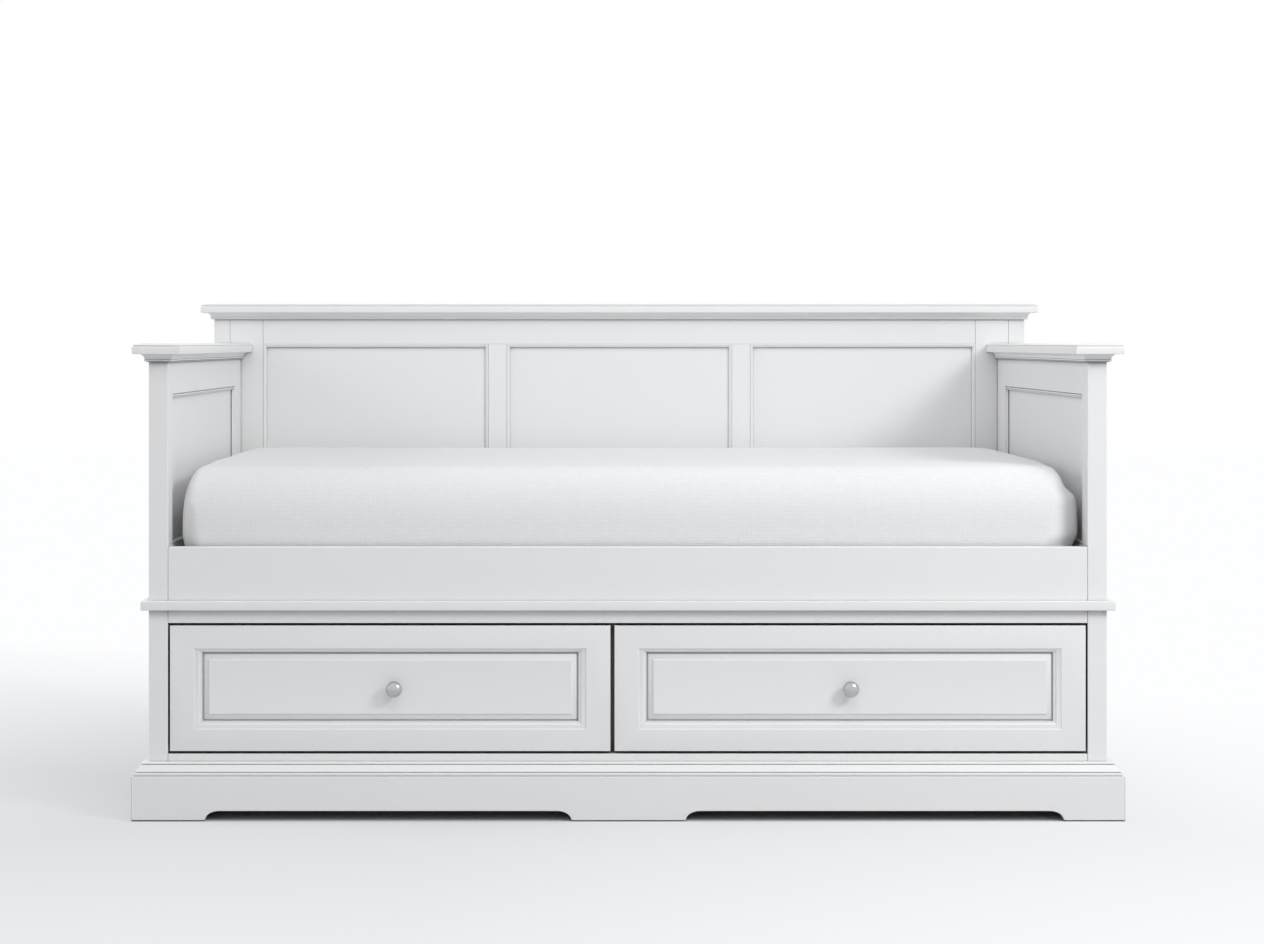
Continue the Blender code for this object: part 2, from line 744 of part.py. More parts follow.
def knob_profile():
    """Radius and reach of the knob's outline, from its foot on the drawer to the middle of its head."""
    head_middle = KNOB_REACH - KNOB_HEAD_DEPTH / 2
    neck = KNOB_NECK_DIAMETER / 2
    foot = KNOB_FOOT_DIAMETER / 2
    foot_top = neck + (foot - neck) * KNOB_FOOT_TOP_SHARE
    start = math.asin(neck / (KNOB_DIAMETER / 2))
    outline = [
        (0, 0),
        (foot, 0),
        (foot, KNOB_FOOT_HEIGHT * KNOB_FOOT_RIM_SHARE),
        (foot_top, KNOB_FOOT_HEIGHT),
    ]
    for i in range(KNOB_HEAD_STEPS + 1):
        turn = start + (math.pi - start) * i / KNOB_HEAD_STEPS
        radius = 0 if i == KNOB_HEAD_STEPS else KNOB_DIAMETER / 2 * math.sin(turn)
        outline.append((radius, head_middle - KNOB_HEAD_DEPTH / 2 * math.cos(turn)))
    return outline


def add_knob(name, across):
    """A turned knob, spun about its own screw's axis."""
    mesh_tool = bmesh.new()
    points = [mesh_tool.verts.new((radius, -reach, 0)) for radius, reach in knob_profile()]
    for start, end in zip(points, points[1:]):
        mesh_tool.edges.new((start, end))
    knob = piece_from(mesh_tool, name, "nickel")
    field_depth = RAISED_PROFILE_SHARES[-1][1] * RAISED_PROFILE_DEPTH
    knob.location = (across, FRONT + field_depth - JOINT_GAP, KNOB_LEVEL)
    spin = knob.modifiers.new("turned", "SCREW")
    spin.axis = "Y"
    spin.steps = KNOB_STEPS
    spin.render_steps = KNOB_STEPS
    spin.use_merge_vertices = True
    spin.merge_threshold = MERGE_DISTANCE
    spin.use_smooth_shade = True
    return knob


def hold(pieces, name, place):
    """An empty on the joint's axis that carries the pieces which move with it."""
    holder = bpy.data.objects.new(name, None)
    PARTS.objects.link(holder)
    holder.location = place
    for piece in pieces:
        piece.parent = holder
        piece.matrix_parent_inverse = Matrix.Translation(place).inverted()


def add_drawer(word, side, knob_shift):
    name = "drawer_" + word
    bay = drawer_bay(side)
    span = front_span(side)
    middle = sum(span) / 2
    pieces = add_drawer_box(name, bay)
    pieces.append(add_drawer_front(name + "_front", span))
    pieces.append(add_knob(name + "_knob", middle + knob_shift))
    add_runners(word, bay)
    hold(pieces, name + "_slide", (middle, FRONT, RUNNER_MIDDLE))


def mattress_lines(half):
    """Where the cage's lines lie across one direction: close together over the two rounded shoulders."""
    straight = half - MATTRESS_SHOULDER
    turn_in = MATTRESS_SHOULDER * math.tan(math.pi / 8)
    inner_spans = MATTRESS_SPANS - MATTRESS_SHOULDER_SPANS
    lines = [-half, -straight - turn_in]
    lines += [straight * (2 * i / inner_spans - 1) for i in range(inner_spans + 1)]
    return [*lines, straight + turn_in, half]


def rounded(point, halves):
    """The point of a box moved onto the same box with rounded edges."""
    straights = [half - MATTRESS_SHOULDER for half in halves]
    core = Vector([max(-limit, min(limit, value)) for value, limit in zip(point, straights)])
    return core + (point - core).normalized() * MATTRESS_SHOULDER


def mattress_point(point, halves):
    """The rounded box with its crown, its drawn-in sides and the cover's fold at the front right."""
    length, width, thickness = halves
    point = rounded(point, halves)
    across, along, up = point.x / length, point.y / width, point.z / thickness
    if up > 0:
        edge = max(abs(across) ** CROWN_POWER_ALONG, abs(along) ** CROWN_POWER_ACROSS)
        point.z -= MATTRESS_CROWN * edge * up
    draw = MATTRESS_DRAW_IN * up * up
    point.x -= draw * across
    point.y -= draw * along
    fold = Vector((length, -width, thickness * MATTRESS_FOLD_LEVEL_SHARE))
    nearness = math.exp(-(((point - fold).length / MATTRESS_FOLD_SPREAD) ** 2))
    point.x += MATTRESS_END_ROOM * MATTRESS_FOLD_SHARE * nearness
    return point


def add_mattress():
    halves = Vector((MATTRESS_LENGTH, MATTRESS_WIDTH, MATTRESS_THICKNESS)) / 2
    lines = [mattress_lines(half) for half in halves]
    mesh_tool = bmesh.new()
    bmesh.ops.create_cube(mesh_tool, size=1)
    bmesh.ops.subdivide_edges(
        mesh_tool, edges=mesh_tool.edges, cuts=MATTRESS_SPANS - 1, use_grid_fill=True
    )
    for corner in mesh_tool.verts:
        steps = [round((value + 0.5) * MATTRESS_SPANS) for value in corner.co]
        corner.co = Vector([line[step] for line, step in zip(lines, steps)])
    for corner in mesh_tool.verts:
        corner.co = mattress_point(corner.co, halves)
    mattress = piece_from(mesh_tool, "mattress", "white_cotton")
    mattress.data.shade_smooth()
    off_centre = MATTRESS_END_ROOM * MATTRESS_SHIFT_SHARE
    middle = RAIL_REAR + MATTRESS_SIDE_ROOM + MATTRESS_WIDTH / 2
    place = Vector((off_centre, middle, SLAT_TOP + JOINT_GAP + MATTRESS_THICKNESS / 2))
    mattress.location = place
    hold([mattress], "mattress_lift", place)


def build_daybed():
    add_posts()
    add_front_rails()
    add_plinth()
    add_base_and_belt_mouldings()
    for word, side in SIDES:
        add_arm(word, side)
    add_back()
    add_cleats()
    add_slat_base()
    add_partition()
    add_drawer("left", -1, LEFT_KNOB_OFF_CENTRE)
    add_drawer("right", 1, 0)
    add_mattress()


clear_scene()
PARTS = new_collection("storage_daybed")
CUTTERS = new_collection("cutters")
build_daybed()
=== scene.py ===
# %% [markdown]
# # A white painted storage daybed
#
# A daybed is a single bed with a back and two arms, so that it also serves as a sofa. This one is
# joiner's work: posts, rails and panels in white satin paint, two drawers under the mattress, and a
# plinth round the foot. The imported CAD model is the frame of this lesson. Each cell below dresses a
# part of it: some pieces only get a finish, and others are made again with finer mouldings, a woven
# cover or rounded slats, in the place that the CAD gives them.

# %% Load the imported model
import math

import bmesh
import bpy
import numpy as np
from mathutils import Matrix, Vector


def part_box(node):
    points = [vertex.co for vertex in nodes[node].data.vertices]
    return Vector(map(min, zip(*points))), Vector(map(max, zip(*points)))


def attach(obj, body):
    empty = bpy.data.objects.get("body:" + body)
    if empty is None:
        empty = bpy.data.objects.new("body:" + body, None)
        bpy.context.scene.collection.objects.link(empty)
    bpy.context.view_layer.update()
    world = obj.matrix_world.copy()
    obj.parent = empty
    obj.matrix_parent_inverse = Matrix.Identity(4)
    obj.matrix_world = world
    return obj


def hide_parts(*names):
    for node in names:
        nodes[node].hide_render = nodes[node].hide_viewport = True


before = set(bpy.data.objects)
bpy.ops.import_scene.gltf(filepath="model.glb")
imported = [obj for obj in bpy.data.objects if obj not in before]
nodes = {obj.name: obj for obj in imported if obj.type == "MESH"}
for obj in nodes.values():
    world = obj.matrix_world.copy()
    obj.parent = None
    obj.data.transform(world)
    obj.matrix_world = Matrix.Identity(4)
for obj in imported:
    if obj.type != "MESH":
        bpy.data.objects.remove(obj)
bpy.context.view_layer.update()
MM = 0.001

# %% [markdown]
# ## The view
#
# The photograph looks straight along the bed's depth from about 4.8 m away, at the height of the
# arms, with the bed low in the picture. A camera that is tilted down would make the posts converge.
# The posts are upright in the photograph, so the camera stays level and its lens is shifted instead,
# which is what an architectural photographer does.

# %% The camera
camera_data = bpy.data.cameras.new("level_camera")
camera_data.lens = 65.2
camera_data.sensor_width = 36
camera_data.shift_x = 0.0415
camera_data.shift_y = -0.1025
camera = bpy.data.objects.new("level_camera", camera_data)
camera.location = (-0.1007, -5.31745, 0.993)
camera.rotation_euler = (math.radians(90), 0, 0)
scene = bpy.context.scene
scene.collection.objects.link(camera)
scene.camera = camera
scene.view_settings.view_transform = "Standard"
print("camera", tuple(camera.location))

# %% [markdown]
# ## Helpers for node trees
#
# Materials and Geometry Nodes are both trees of nodes. Made in a script, a tree is easier to read if
# each line makes one node and says what goes into it. An input is either a socket of another node,
# which is linked, or a plain value, which is typed into the socket.

# %% Make a node, a sum or a group
def fill_socket(tree, socket, value):
    if isinstance(value, bpy.types.NodeSocket):
        tree.links.new(value, socket)
    else:
        socket.default_value = value


def add_node(tree, kind, inputs=None, **settings):
    node = tree.nodes.new(kind)
    for name, value in settings.items():
        setattr(node, name, value)
    for key, value in (inputs or {}).items():
        fill_socket(tree, node.inputs[key], value)
    return node


def calc(tree, operation, *values):
    """The result of one Math node."""
    node = add_node(tree, "ShaderNodeMath", operation=operation)
    for socket, value in zip(node.inputs, values):
        fill_socket(tree, socket, value)
    return node.outputs[0]


def remap(tree, value, low, high, to_low=0.0, to_high=1.0):
    """A value moved from one range to another, and held inside it."""
    inputs = {0: value, 1: low, 2: high, 3: to_low, 4: to_high}
    return add_node(tree, "ShaderNodeMapRange", inputs, clamp=True).outputs[0]


def mix_colours(tree, share, first, second, blend="MIX"):
    node = add_node(tree, "ShaderNodeMix", data_type="RGBA", blend_type=blend)
    for key, value in ((0, share), (6, first), (7, second)):
        fill_socket(tree, node.inputs[key], value)
    return node.outputs[2]


def new_group(name, kind, inputs, outputs):
    """An empty group with named sockets, and its two end nodes."""
    tree = bpy.data.node_groups.new(name, kind)
    for label, socket_kind, value in inputs:
        socket = tree.interface.new_socket(label, in_out="INPUT", socket_type="NodeSocket" + socket_kind)
        if value is not None:
            socket.default_value = value
    for label, socket_kind in outputs:
        tree.interface.new_socket(label, in_out="OUTPUT", socket_type="NodeSocket" + socket_kind)
    return tree, tree.nodes.new("NodeGroupInput").outputs, tree.nodes.new("NodeGroupOutput").inputs


def noise(tree, vector, scale, detail=2.0, roughness=0.5):
    inputs = {"Vector": vector, "Scale": scale, "Detail": detail, "Roughness": roughness}
    return add_node(tree, "ShaderNodeTexNoise", inputs).outputs[0]


def vector_calc(tree, operation, *vectors):
    return add_node(tree, "ShaderNodeVectorMath", dict(enumerate(vectors)), operation=operation).outputs[0]


def stretched(tree, vector, scale):
    return vector_calc(tree, "MULTIPLY", vector, scale)


def parts_of(tree, vector):
    return add_node(tree, "ShaderNodeSeparateXYZ", {0: vector}).outputs


def vector_of(tree, *parts):
    return add_node(tree, "ShaderNodeCombineXYZ", dict(enumerate(parts))).outputs[0]


def own_place(tree):
    """The piece's own coordinates, in metres."""
    return add_node(tree, "ShaderNodeTexCoord").outputs["Object"]


def surface_normal(tree, kind="Normal"):
    return add_node(tree, "ShaderNodeNewGeometry").outputs[kind]


def occlusion(tree, inputs, **settings):
    """How open the surface is: one in the open, less where something is near."""
    return add_node(tree, "ShaderNodeAmbientOcclusion", inputs, samples=4, **settings).outputs["AO"]


def use_group(tree, group, vector=None):
    inputs = {} if vector is None else {"Vector": vector}
    return add_node(tree, "ShaderNodeGroup", inputs, node_tree=group)


def bumped(tree, shader, height, strength, distance):
    bump = add_node(tree, "ShaderNodeBump", {"Height": height, "Strength": strength, "Distance": distance})
    tree.links.new(bump.outputs[0], shader.inputs["Normal"])


# %% [markdown]
# ## Edges, grooves and slots
#
# Outer edges are painted brighter, a painted highlight. Shade is painted in where light can't reach: in
# the grooves of a moulding, in the slots between two pieces, and in the corner under a ledge. All of these
# places can be found from the shape alone. Ambient occlusion that looks into the solid finds the outer
# edges, because there the other face is near. The usual kind finds grooves, and with a longer reach the
# wide hollows of a drawer front. If it also looks at the other pieces it finds slots, and tilted upwards
# it sees ledges only. Several finishes use this, so it is a group, and each material takes the masks of
# painted highlight and painted shade that its pieces need.

# %% The group for edges, grooves and slots
UPWARD_LEAN = 0.8


def make_painted_light_group():
    reaches = (("Edge", 0.0025), ("Groove", 0.003), ("Slot", 0.009), ("Ledge", 0.018), ("Hollow", 0.011))
    tree, given, result = new_group(
        "edges_and_grooves",
        "ShaderNodeTree",
        [(label + " Reach", "Float", reach) for label, reach in reaches] + [("Patchiness", "Float", 0.1)],
        [(label, "Float") for label, reach in reaches],
    )
    patches = remap(tree, noise(tree, own_place(tree), 9.0, 2.0), 0.35, 0.65)
    kept = calc(tree, "SUBTRACT", 1.0, calc(tree, "MULTIPLY", given["Patchiness"], patches))
    normal = surface_normal(tree)
    leaning = vector_calc(tree, "NORMALIZE", vector_calc(tree, "ADD", normal, (0, 0, UPWARD_LEAN)))
    # Edge masks the painted highlight on outer edges; Groove, Slot, Ledge and Hollow mask painted shade.
    plans = (
        ("Edge", True, True, normal, 0.90, 0.45),
        ("Groove", False, True, normal, 0.52, 0.22),
        ("Slot", False, False, normal, 0.46, 0.20),
        ("Ledge", False, False, leaning, 0.56, 0.28),
        ("Hollow", False, True, normal, 0.92, 0.52),
    )
    for label, inside, own_shape_only, direction, none, full in plans:
        inputs = {"Distance": given[label + " Reach"], "Normal": direction}
        found = remap(tree, occlusion(tree, inputs, inside=inside, only_local=own_shape_only), none, full)
        if label == "Edge":
            found = calc(tree, "MULTIPLY", found, kept)
        tree.links.new(found, result[label])
    return tree


PAINTED_LIGHT_MASKS = make_painted_light_group()
print("group:", PAINTED_LIGHT_MASKS.name)

# %% [markdown]
# ## White satin paint
#
# Sprayed and brushed paint isn't flat. It has a fine orange peel a few millimetres across, faint brush
# strokes along each board, and slow changes of tone and gloss. All of that is noise on the piece's own
# coordinates in metres, stretched along the board. The group has its strokes along X, and a Mapping
# node in each material turns them for boards that run along Y or Z. The kinds of paint differ in the
# masks of painted highlight and painted shade that they take, and in how dark each shade is. The crown
# of the back is also painted a little paler, as painted light in the shade under its cap.

# %% The group for a film of paint
def make_film_group():
    tree, given, result = new_group(
        "film_of_paint",
        "ShaderNodeTree",
        [("Vector", "Vector", None), ("Peel Scale", "Float", 380.0), ("Stroke Share", "Float", 0.55)],
        [("Height", "Float"), ("Tone", "Float"), ("Gloss", "Float")],
    )
    place = given["Vector"]
    strokes = noise(tree, stretched(tree, place, (5.0, 240.0, 240.0)), 1.0, 3.0)
    peel = noise(tree, place, given["Peel Scale"], 1.0)
    strokes_part = calc(tree, "MULTIPLY", strokes, given["Stroke Share"])
    tree.links.new(calc(tree, "ADD", strokes_part, calc(tree, "MULTIPLY", peel, 0.45)), result["Height"])
    tree.links.new(noise(tree, place, 2.6, 2.0), result["Tone"])
    tree.links.new(noise(tree, stretched(tree, place, (3.0, 22.0, 22.0)), 1.0, 2.0), result["Gloss"])
    return tree


FILM = make_film_group()
print("group:", FILM.name)

# %% The paint along each direction
TURNS = {"x": (0, 0, 0), "y": (0, 0, math.radians(-90)), "z": (0, math.radians(90), 0)}


def new_material(name, tint):
    """A material with its shader and the colour that the viewport shows."""
    material = bpy.data.materials.new(name)
    material.use_nodes = True
    material.diffuse_color = (*tint, 1)
    tree = material.node_tree
    return material, tree, tree.nodes["Principled BSDF"]


def turned_place(tree, direction):
    """The piece's own coordinates, with the board's length turned onto X."""
    inputs = {"Vector": own_place(tree), "Rotation": TURNS[direction]}
    return add_node(tree, "ShaderNodeMapping", inputs).outputs[0]


PAINT_TONES = (0.795, 0.797, 0.800), (0.812, 0.813, 0.814)
# The colour of the painted highlight on outer edges.
PAINTED_EDGE_HIGHLIGHT = (0.90, 0.90, 0.905, 1)
# Painted shade: each kind of paint darkens its slots, grooves, hollows and the corners under ledges to these
# colours.
IN_SLOT = ("Slot", (0.02, 0.02, 0.022))
IN_GROOVE = ("Groove", (0.05, 0.05, 0.053))
SHADES = {
    "board": (("Ledge", (0.33, 0.33, 0.34)), IN_SLOT),
    "upper": (("Ledge", (0.60, 0.60, 0.605)), IN_SLOT),
    "drawer": (("Hollow", (0.62, 0.62, 0.63)), IN_GROOVE, IN_SLOT),
    "moulding": (IN_GROOVE,),
    "crown": (("Groove", (0.35, 0.35, 0.355)),),
    "cap": (("Groove", (0.45, 0.45, 0.455)),),
}
MOULDED_KINDS = ("moulding", "crown", "cap")
FLAT_RELIEF, MOULDED_RELIEF, MOULDED_EDGE = 0.35, 0.08, 0.2


def white_paint(kind, direction, painted_lift=0.0):
    """Boards take shade from their neighbours, mouldings only from their own grooves."""
    material, tree, shader = new_material(f"white_paint_{kind}_{direction}", (0.80, 0.80, 0.79))
    film = use_group(tree, FILM, turned_place(tree, direction))
    light_masks = use_group(tree, PAINTED_LIGHT_MASKS)
    relief, edge_share = (MOULDED_RELIEF, MOULDED_EDGE) if kind in MOULDED_KINDS else (FLAT_RELIEF, 1.0)
    low, high = ([tone + painted_lift for tone in tones] for tones in PAINT_TONES)
    colour = mix_colours(tree, film.outputs["Tone"], (*low, 1), (*high, 1))
    # Painted highlight on the outer edges, then painted shade in the places that this kind's masks find.
    edge = calc(tree, "MULTIPLY", light_masks.outputs["Edge"], edge_share)
    colour = mix_colours(tree, edge, colour, PAINTED_EDGE_HIGHLIGHT)
    for label, shade in SHADES[kind]:
        colour = mix_colours(tree, light_masks.outputs[label], colour, (*shade, 1))
    tree.links.new(colour, shader.inputs["Base Color"])
    gloss = remap(tree, film.outputs["Gloss"], 0.3, 0.7, 0.36, 0.44)
    rubbed = calc(tree, "MULTIPLY", edge, 0.08)
    tree.links.new(calc(tree, "SUBTRACT", gloss, rubbed), shader.inputs["Roughness"])
    bumped(tree, shader, film.outputs["Height"], relief, 0.12 * MM)
    return material


PAINT = {direction: white_paint("board", direction) for direction in TURNS}
MOULDED = {direction: white_paint("moulding", direction) for direction in "xy"}
# The back's crown is painted 0.09 paler: painted light that lifts its hollow in the shade of the cap.
CROWN_PAINT = white_paint("crown", "x", 0.09)
CAP_PAINT = {direction: white_paint("cap", direction) for direction in "xy"}
UPPER_PAINT = {direction: white_paint("upper", direction) for direction in "xz"}
DRAWER_PAINT = white_paint("drawer", "x")
print("finishes:", [material.name for material in (*PAINT.values(), *MOULDED.values(), DRAWER_PAINT)])

# %% [markdown]
# ## Bare wood
#
# The parts that nobody sees are left bare: pine slats and cleats, beech runners, and birch plywood for
# the drawer boxes. A board is a cut through a tree's rings, so its figure is a set of long stripes that
# waver along the grain. Here the rings are circles round a pith that lies beside the board, pushed
# about by noise that is stretched along the grain, and finer noise adds the fibres.

# %% The group for wood grain
PITH_ACROSS, PITH_DEEP = 21 * MM, 43 * MM


def make_grain_group():
    tree, given, result = new_group(
        "wood_grain",
        "ShaderNodeTree",
        [("Vector", "Vector", None), ("Ring Width", "Float", 0.004), ("Waver", "Float", 0.02)],
        [("Ring", "Float"), ("Fibre", "Float"), ("Height", "Float")],
    )
    place = given["Vector"]
    parts = parts_of(tree, place)
    slow = calc(tree, "SUBTRACT", noise(tree, stretched(tree, place, (1.6, 9.0, 9.0)), 1.0, 2.0), 0.5)
    across = calc(tree, "ADD", parts[1], PITH_ACROSS)
    deep = calc(tree, "ADD", parts[2], PITH_DEEP)
    squares = calc(tree, "ADD", calc(tree, "MULTIPLY", across, across), calc(tree, "MULTIPLY", deep, deep))
    radius = calc(tree, "MULTIPLY_ADD", slow, given["Waver"], calc(tree, "SQRT", squares))
    turn = calc(tree, "FRACT", calc(tree, "DIVIDE", radius, given["Ring Width"]))
    late = calc(tree, "POWER", turn, 2.6)
    soft_end = remap(tree, turn, 0.93, 1.0, 1.0, 0.0)
    tree.links.new(calc(tree, "MULTIPLY", late, soft_end), result["Ring"])
    fibre = noise(tree, stretched(tree, place, (18.0, 900.0, 900.0)), 1.0, 3.0, 0.6)
    tree.links.new(fibre, result["Fibre"])
    tree.links.new(calc(tree, "MULTIPLY_ADD", late, 0.3, calc(tree, "MULTIPLY", fibre, 0.7)), result["Height"])
    return tree


GRAIN = make_grain_group()
print("group:", GRAIN.name)

# %% Wood finishes
PLY_THICKNESS = 1.4 * MM


def bare_wood(name, direction, wood, tone_attribute=None, sheet_axis=None, in_slot=False):
    """Bare wood with its grain along one direction. A sheet's edges show its plies, glued crosswise."""
    pale, dark, ring_width, roughness = wood
    material, tree, shader = new_material(name, pale)
    place = turned_place(tree, direction)
    if tone_attribute:
        own = add_node(tree, "ShaderNodeAttribute", attribute_name=tone_attribute).outputs["Fac"]
        place = vector_calc(tree, "ADD", place, vector_of(tree, own, own, own))
    grain = use_group(tree, GRAIN, place)
    grain.inputs["Ring Width"].default_value = ring_width
    colour = mix_colours(tree, grain.outputs["Ring"], (*pale, 1), (*dark, 1))
    streak = remap(tree, grain.outputs["Fibre"], 0.35, 0.75, 0.0, 0.35)
    colour = mix_colours(tree, streak, colour, (*[0.8 * part for part in dark], 1))
    if tone_attribute:
        shade = remap(tree, own, 0.0, 1.0, 0.88, 1.08)
        colour = mix_colours(tree, 1.0, colour, vector_of(tree, shade, shade, shade), "MULTIPLY")
    if sheet_axis is not None:
        level = parts_of(tree, own_place(tree))[sheet_axis]
        facing = parts_of(tree, surface_normal(tree, "True Normal"))[sheet_axis]
        edge = remap(tree, calc(tree, "ABSOLUTE", facing), 0.6, 0.5)
        ply = calc(tree, "PINGPONG", level, PLY_THICKNESS)
        stripe = remap(tree, ply, 0.4 * PLY_THICKNESS, 0.6 * PLY_THICKNESS)
        plies = mix_colours(tree, stripe, (*dark, 1), (*pale, 1))
        colour = mix_colours(tree, edge, colour, plies)
    light_masks = use_group(tree, PAINTED_LIGHT_MASKS)
    # Outer edges are painted lighter: a painted highlight.
    colour = mix_colours(tree, light_masks.outputs["Edge"], colour, (*[0.5 + 0.5 * part for part in pale], 1))
    # In a deep slot the wood is painted near-black: painted shade.
    if in_slot:
        light_masks.inputs["Slot Reach"].default_value = 40 * MM
        deep = remap(tree, light_masks.outputs["Slot"], 0.0, 0.5)
        colour = mix_colours(tree, deep, colour, (0.02, 0.02, 0.02, 1))
    tree.links.new(colour, shader.inputs["Base Color"])
    shine = remap(tree, grain.outputs["Fibre"], 0.3, 0.7, roughness - 0.06, roughness + 0.06)
    tree.links.new(shine, shader.inputs["Roughness"])
    bumped(tree, shader, grain.outputs["Height"], 0.5, 0.2 * MM)
    return material


# Each wood's pale and dark colour, the width of its rings and its roughness.
PINE = (0.70, 0.53, 0.33), (0.52, 0.33, 0.16), 5 * MM, 0.6
BIRCH = (0.68, 0.55, 0.39), (0.55, 0.41, 0.26), 9 * MM, 0.5
BEECH = (0.58, 0.39, 0.24), (0.44, 0.27, 0.15), 2.2 * MM, 0.42
PINE_X = bare_wood("pine_along_x", "x", PINE)
PINE_SLATS = bare_wood("pine_slats", "y", PINE, tone_attribute="board_tone")
BEECH_Y = bare_wood("beech_along_y", "y", BEECH)
BIRCH_SIDE = bare_wood("birch_ply_upright", "y", BIRCH, sheet_axis=0)
BIRCH_SLOT = bare_wood("birch_ply_partition", "y", BIRCH, sheet_axis=0, in_slot=True)
BIRCH_BACK = bare_wood("birch_ply_across", "x", BIRCH, sheet_axis=1)
BIRCH_FLAT = bare_wood("birch_ply_flat", "x", BIRCH, sheet_axis=2)
print("woods:", PINE_X.name, PINE_SLATS.name, BEECH_Y.name, BIRCH_SIDE.name)

# %% [markdown]
# ## Polished nickel and zinc
#
# The knobs are nickel plated and polished. Metal has no colour of its own apart from what it reflects,
# so its detail is in the roughness: faint smears from hands, and hairline polishing marks round the
# knob. Its grooves are painted darker, as painted shade. The screws are plain zinc, duller and a little bluer.

# %% Metal finishes
def polished_metal(name, tint, low, high, marks):
    material, tree, shader = new_material(name, tint)
    place = own_place(tree)
    smears = noise(tree, place, 90.0, 3.0)
    hairlines = noise(tree, stretched(tree, place, marks), 1.0, 2.0)
    both = calc(tree, "MULTIPLY_ADD", hairlines, 0.35, calc(tree, "MULTIPLY", smears, 0.65))
    tree.links.new(remap(tree, both, 0.35, 0.65, low, high), shader.inputs["Roughness"])
    groove_shade = (*[0.55 * part for part in tint], 1)
    # Painted shade: the tint darkens to about half in grooves.
    colour = mix_colours(tree, use_group(tree, PAINTED_LIGHT_MASKS).outputs["Groove"], (*tint, 1), groove_shade)
    tree.links.new(colour, shader.inputs["Base Color"])
    shader.inputs["Metallic"].default_value = 1.0
    bumped(tree, shader, hairlines, 0.15, 0.02 * MM)
    return material


NICKEL = polished_metal("polished_nickel", (0.50, 0.51, 0.53), 0.14, 0.22, (60.0, 2600.0, 60.0))
ZINC = polished_metal("zinc_plate", (0.56, 0.58, 0.61), 0.30, 0.45, (700.0, 700.0, 90.0))
print("metals:", NICKEL.name, ZINC.name)

# %% [markdown]
# ## Slub-woven cotton
#
# The mattress cover is a plain weave of thick uneven threads, called slubs. From a few metres away it
# is a fine grid, dark where the threads dip, with short brighter runs where a thread is thick. That
# grid is painted into the colour as well as the bump: the dark dips are painted shade and the bright
# runs painted light. The pattern has to go round the mattress's shoulders without sliding, so it reads
# the piece's UV map, which is laid out in metres further down. Two sets of waves stand for the two sets
# of threads, a chequered mask lets one pass over the other, and noise makes the threads thick and thin.
# In the last few centimetres before the arms and the back, the cloth is painted a little darker, as
# painted shade.

# %% The group for the weave
THREAD_WANDER = 3 * MM
SLUB_STRETCHES = (45, 260, 1), (260, 45, 1)


def make_weave_group():
    tree, given, result = new_group(
        "plain_weave",
        "ShaderNodeTree",
        [("Vector", "Vector", None), ("Pitch", "Float", 0.0042), ("Slub", "Float", 0.25)],
        [("Height", "Float"), ("Thread", "Float")],
    )
    place = given["Vector"]
    drift = noise(tree, place, 14.0, 2.0)
    parts = parts_of(tree, place)
    slubs = [noise(tree, stretched(tree, place, by), 1.0, 1.0) for by in SLUB_STRETCHES]
    waves = []
    for part in (parts[0], parts[1]):
        wandering = calc(tree, "MULTIPLY_ADD", drift, THREAD_WANDER, part)
        turn = calc(tree, "MULTIPLY", calc(tree, "DIVIDE", wandering, given["Pitch"]), math.pi)
        waves.append(calc(tree, "SINE", turn))
    rounds = [calc(tree, "POWER", calc(tree, "ABSOLUTE", wave), 0.7) for wave in waves]
    chequer = remap(tree, calc(tree, "MULTIPLY", waves[0], waves[1]), -0.4, 0.4, 0.8, 1.0)
    grid = calc(tree, "MULTIPLY", rounds[0], rounds[1])
    height = calc(tree, "MULTIPLY", grid, chequer)
    tree.links.new(height, result["Height"])
    thick = calc(tree, "MAXIMUM", remap(tree, slubs[0], 0.5, 0.72), remap(tree, slubs[1], 0.54, 0.76))
    lit = calc(tree, "MULTIPLY_ADD", thick, given["Slub"], calc(tree, "MULTIPLY", height, 0.8))
    tree.links.new(lit, result["Thread"])
    return tree


SHADED_DIPS, THREADS = (0.735, 0.737, 0.745, 1), (0.865, 0.867, 0.873, 1)
SHADE_NEAR_WOOD = (0.72, 0.723, 0.73, 1)


def woven_cotton():
    material, tree, shader = new_material("slub_cotton", (0.82, 0.82, 0.82))
    place = add_node(tree, "ShaderNodeUVMap", uv_map="cover").outputs[0]
    weave = use_group(tree, make_weave_group(), place)
    # The grid's colour is painted: darker in the dips as painted shade, brighter on high and thick threads as
    # painted light.
    lit = remap(tree, weave.outputs["Thread"], 0.0, 1.0)
    colour = mix_colours(tree, lit, SHADED_DIPS, THREADS)
    # Painted shade within a few centimetres of the wood.
    near = remap(tree, occlusion(tree, {"Distance": 60 * MM}), 0.50, 0.10)
    colour = mix_colours(tree, near, colour, SHADE_NEAR_WOOD)
    tree.links.new(colour, shader.inputs["Base Color"])
    tree.links.new(remap(tree, weave.outputs["Thread"], 0.1, 0.9, 0.95, 0.82), shader.inputs["Roughness"])
    shader.inputs["Sheen Weight"].default_value = 0.08
    shader.inputs["Sheen Roughness"].default_value = 0.5
    shader.inputs["Specular IOR Level"].default_value = 0.25
    bumped(tree, shader, weave.outputs["Height"], 0.6, 0.6 * MM)
    return material


COTTON = woven_cotton()
print("cloth:", COTTON.name)

# %% [markdown]
# ## Finishes for the pieces that stay
#
# The straight boards of the frame are right as the CAD has them, with their eased edges. They keep
# their meshes and only change their material: paint with its strokes along each board, and bare wood
# where the bed is unpainted.

# %% Give the CAD pieces their finishes
def dress(material, *names):
    for name in names:
        nodes[name].material_slots[0].material = material
    return len(names)


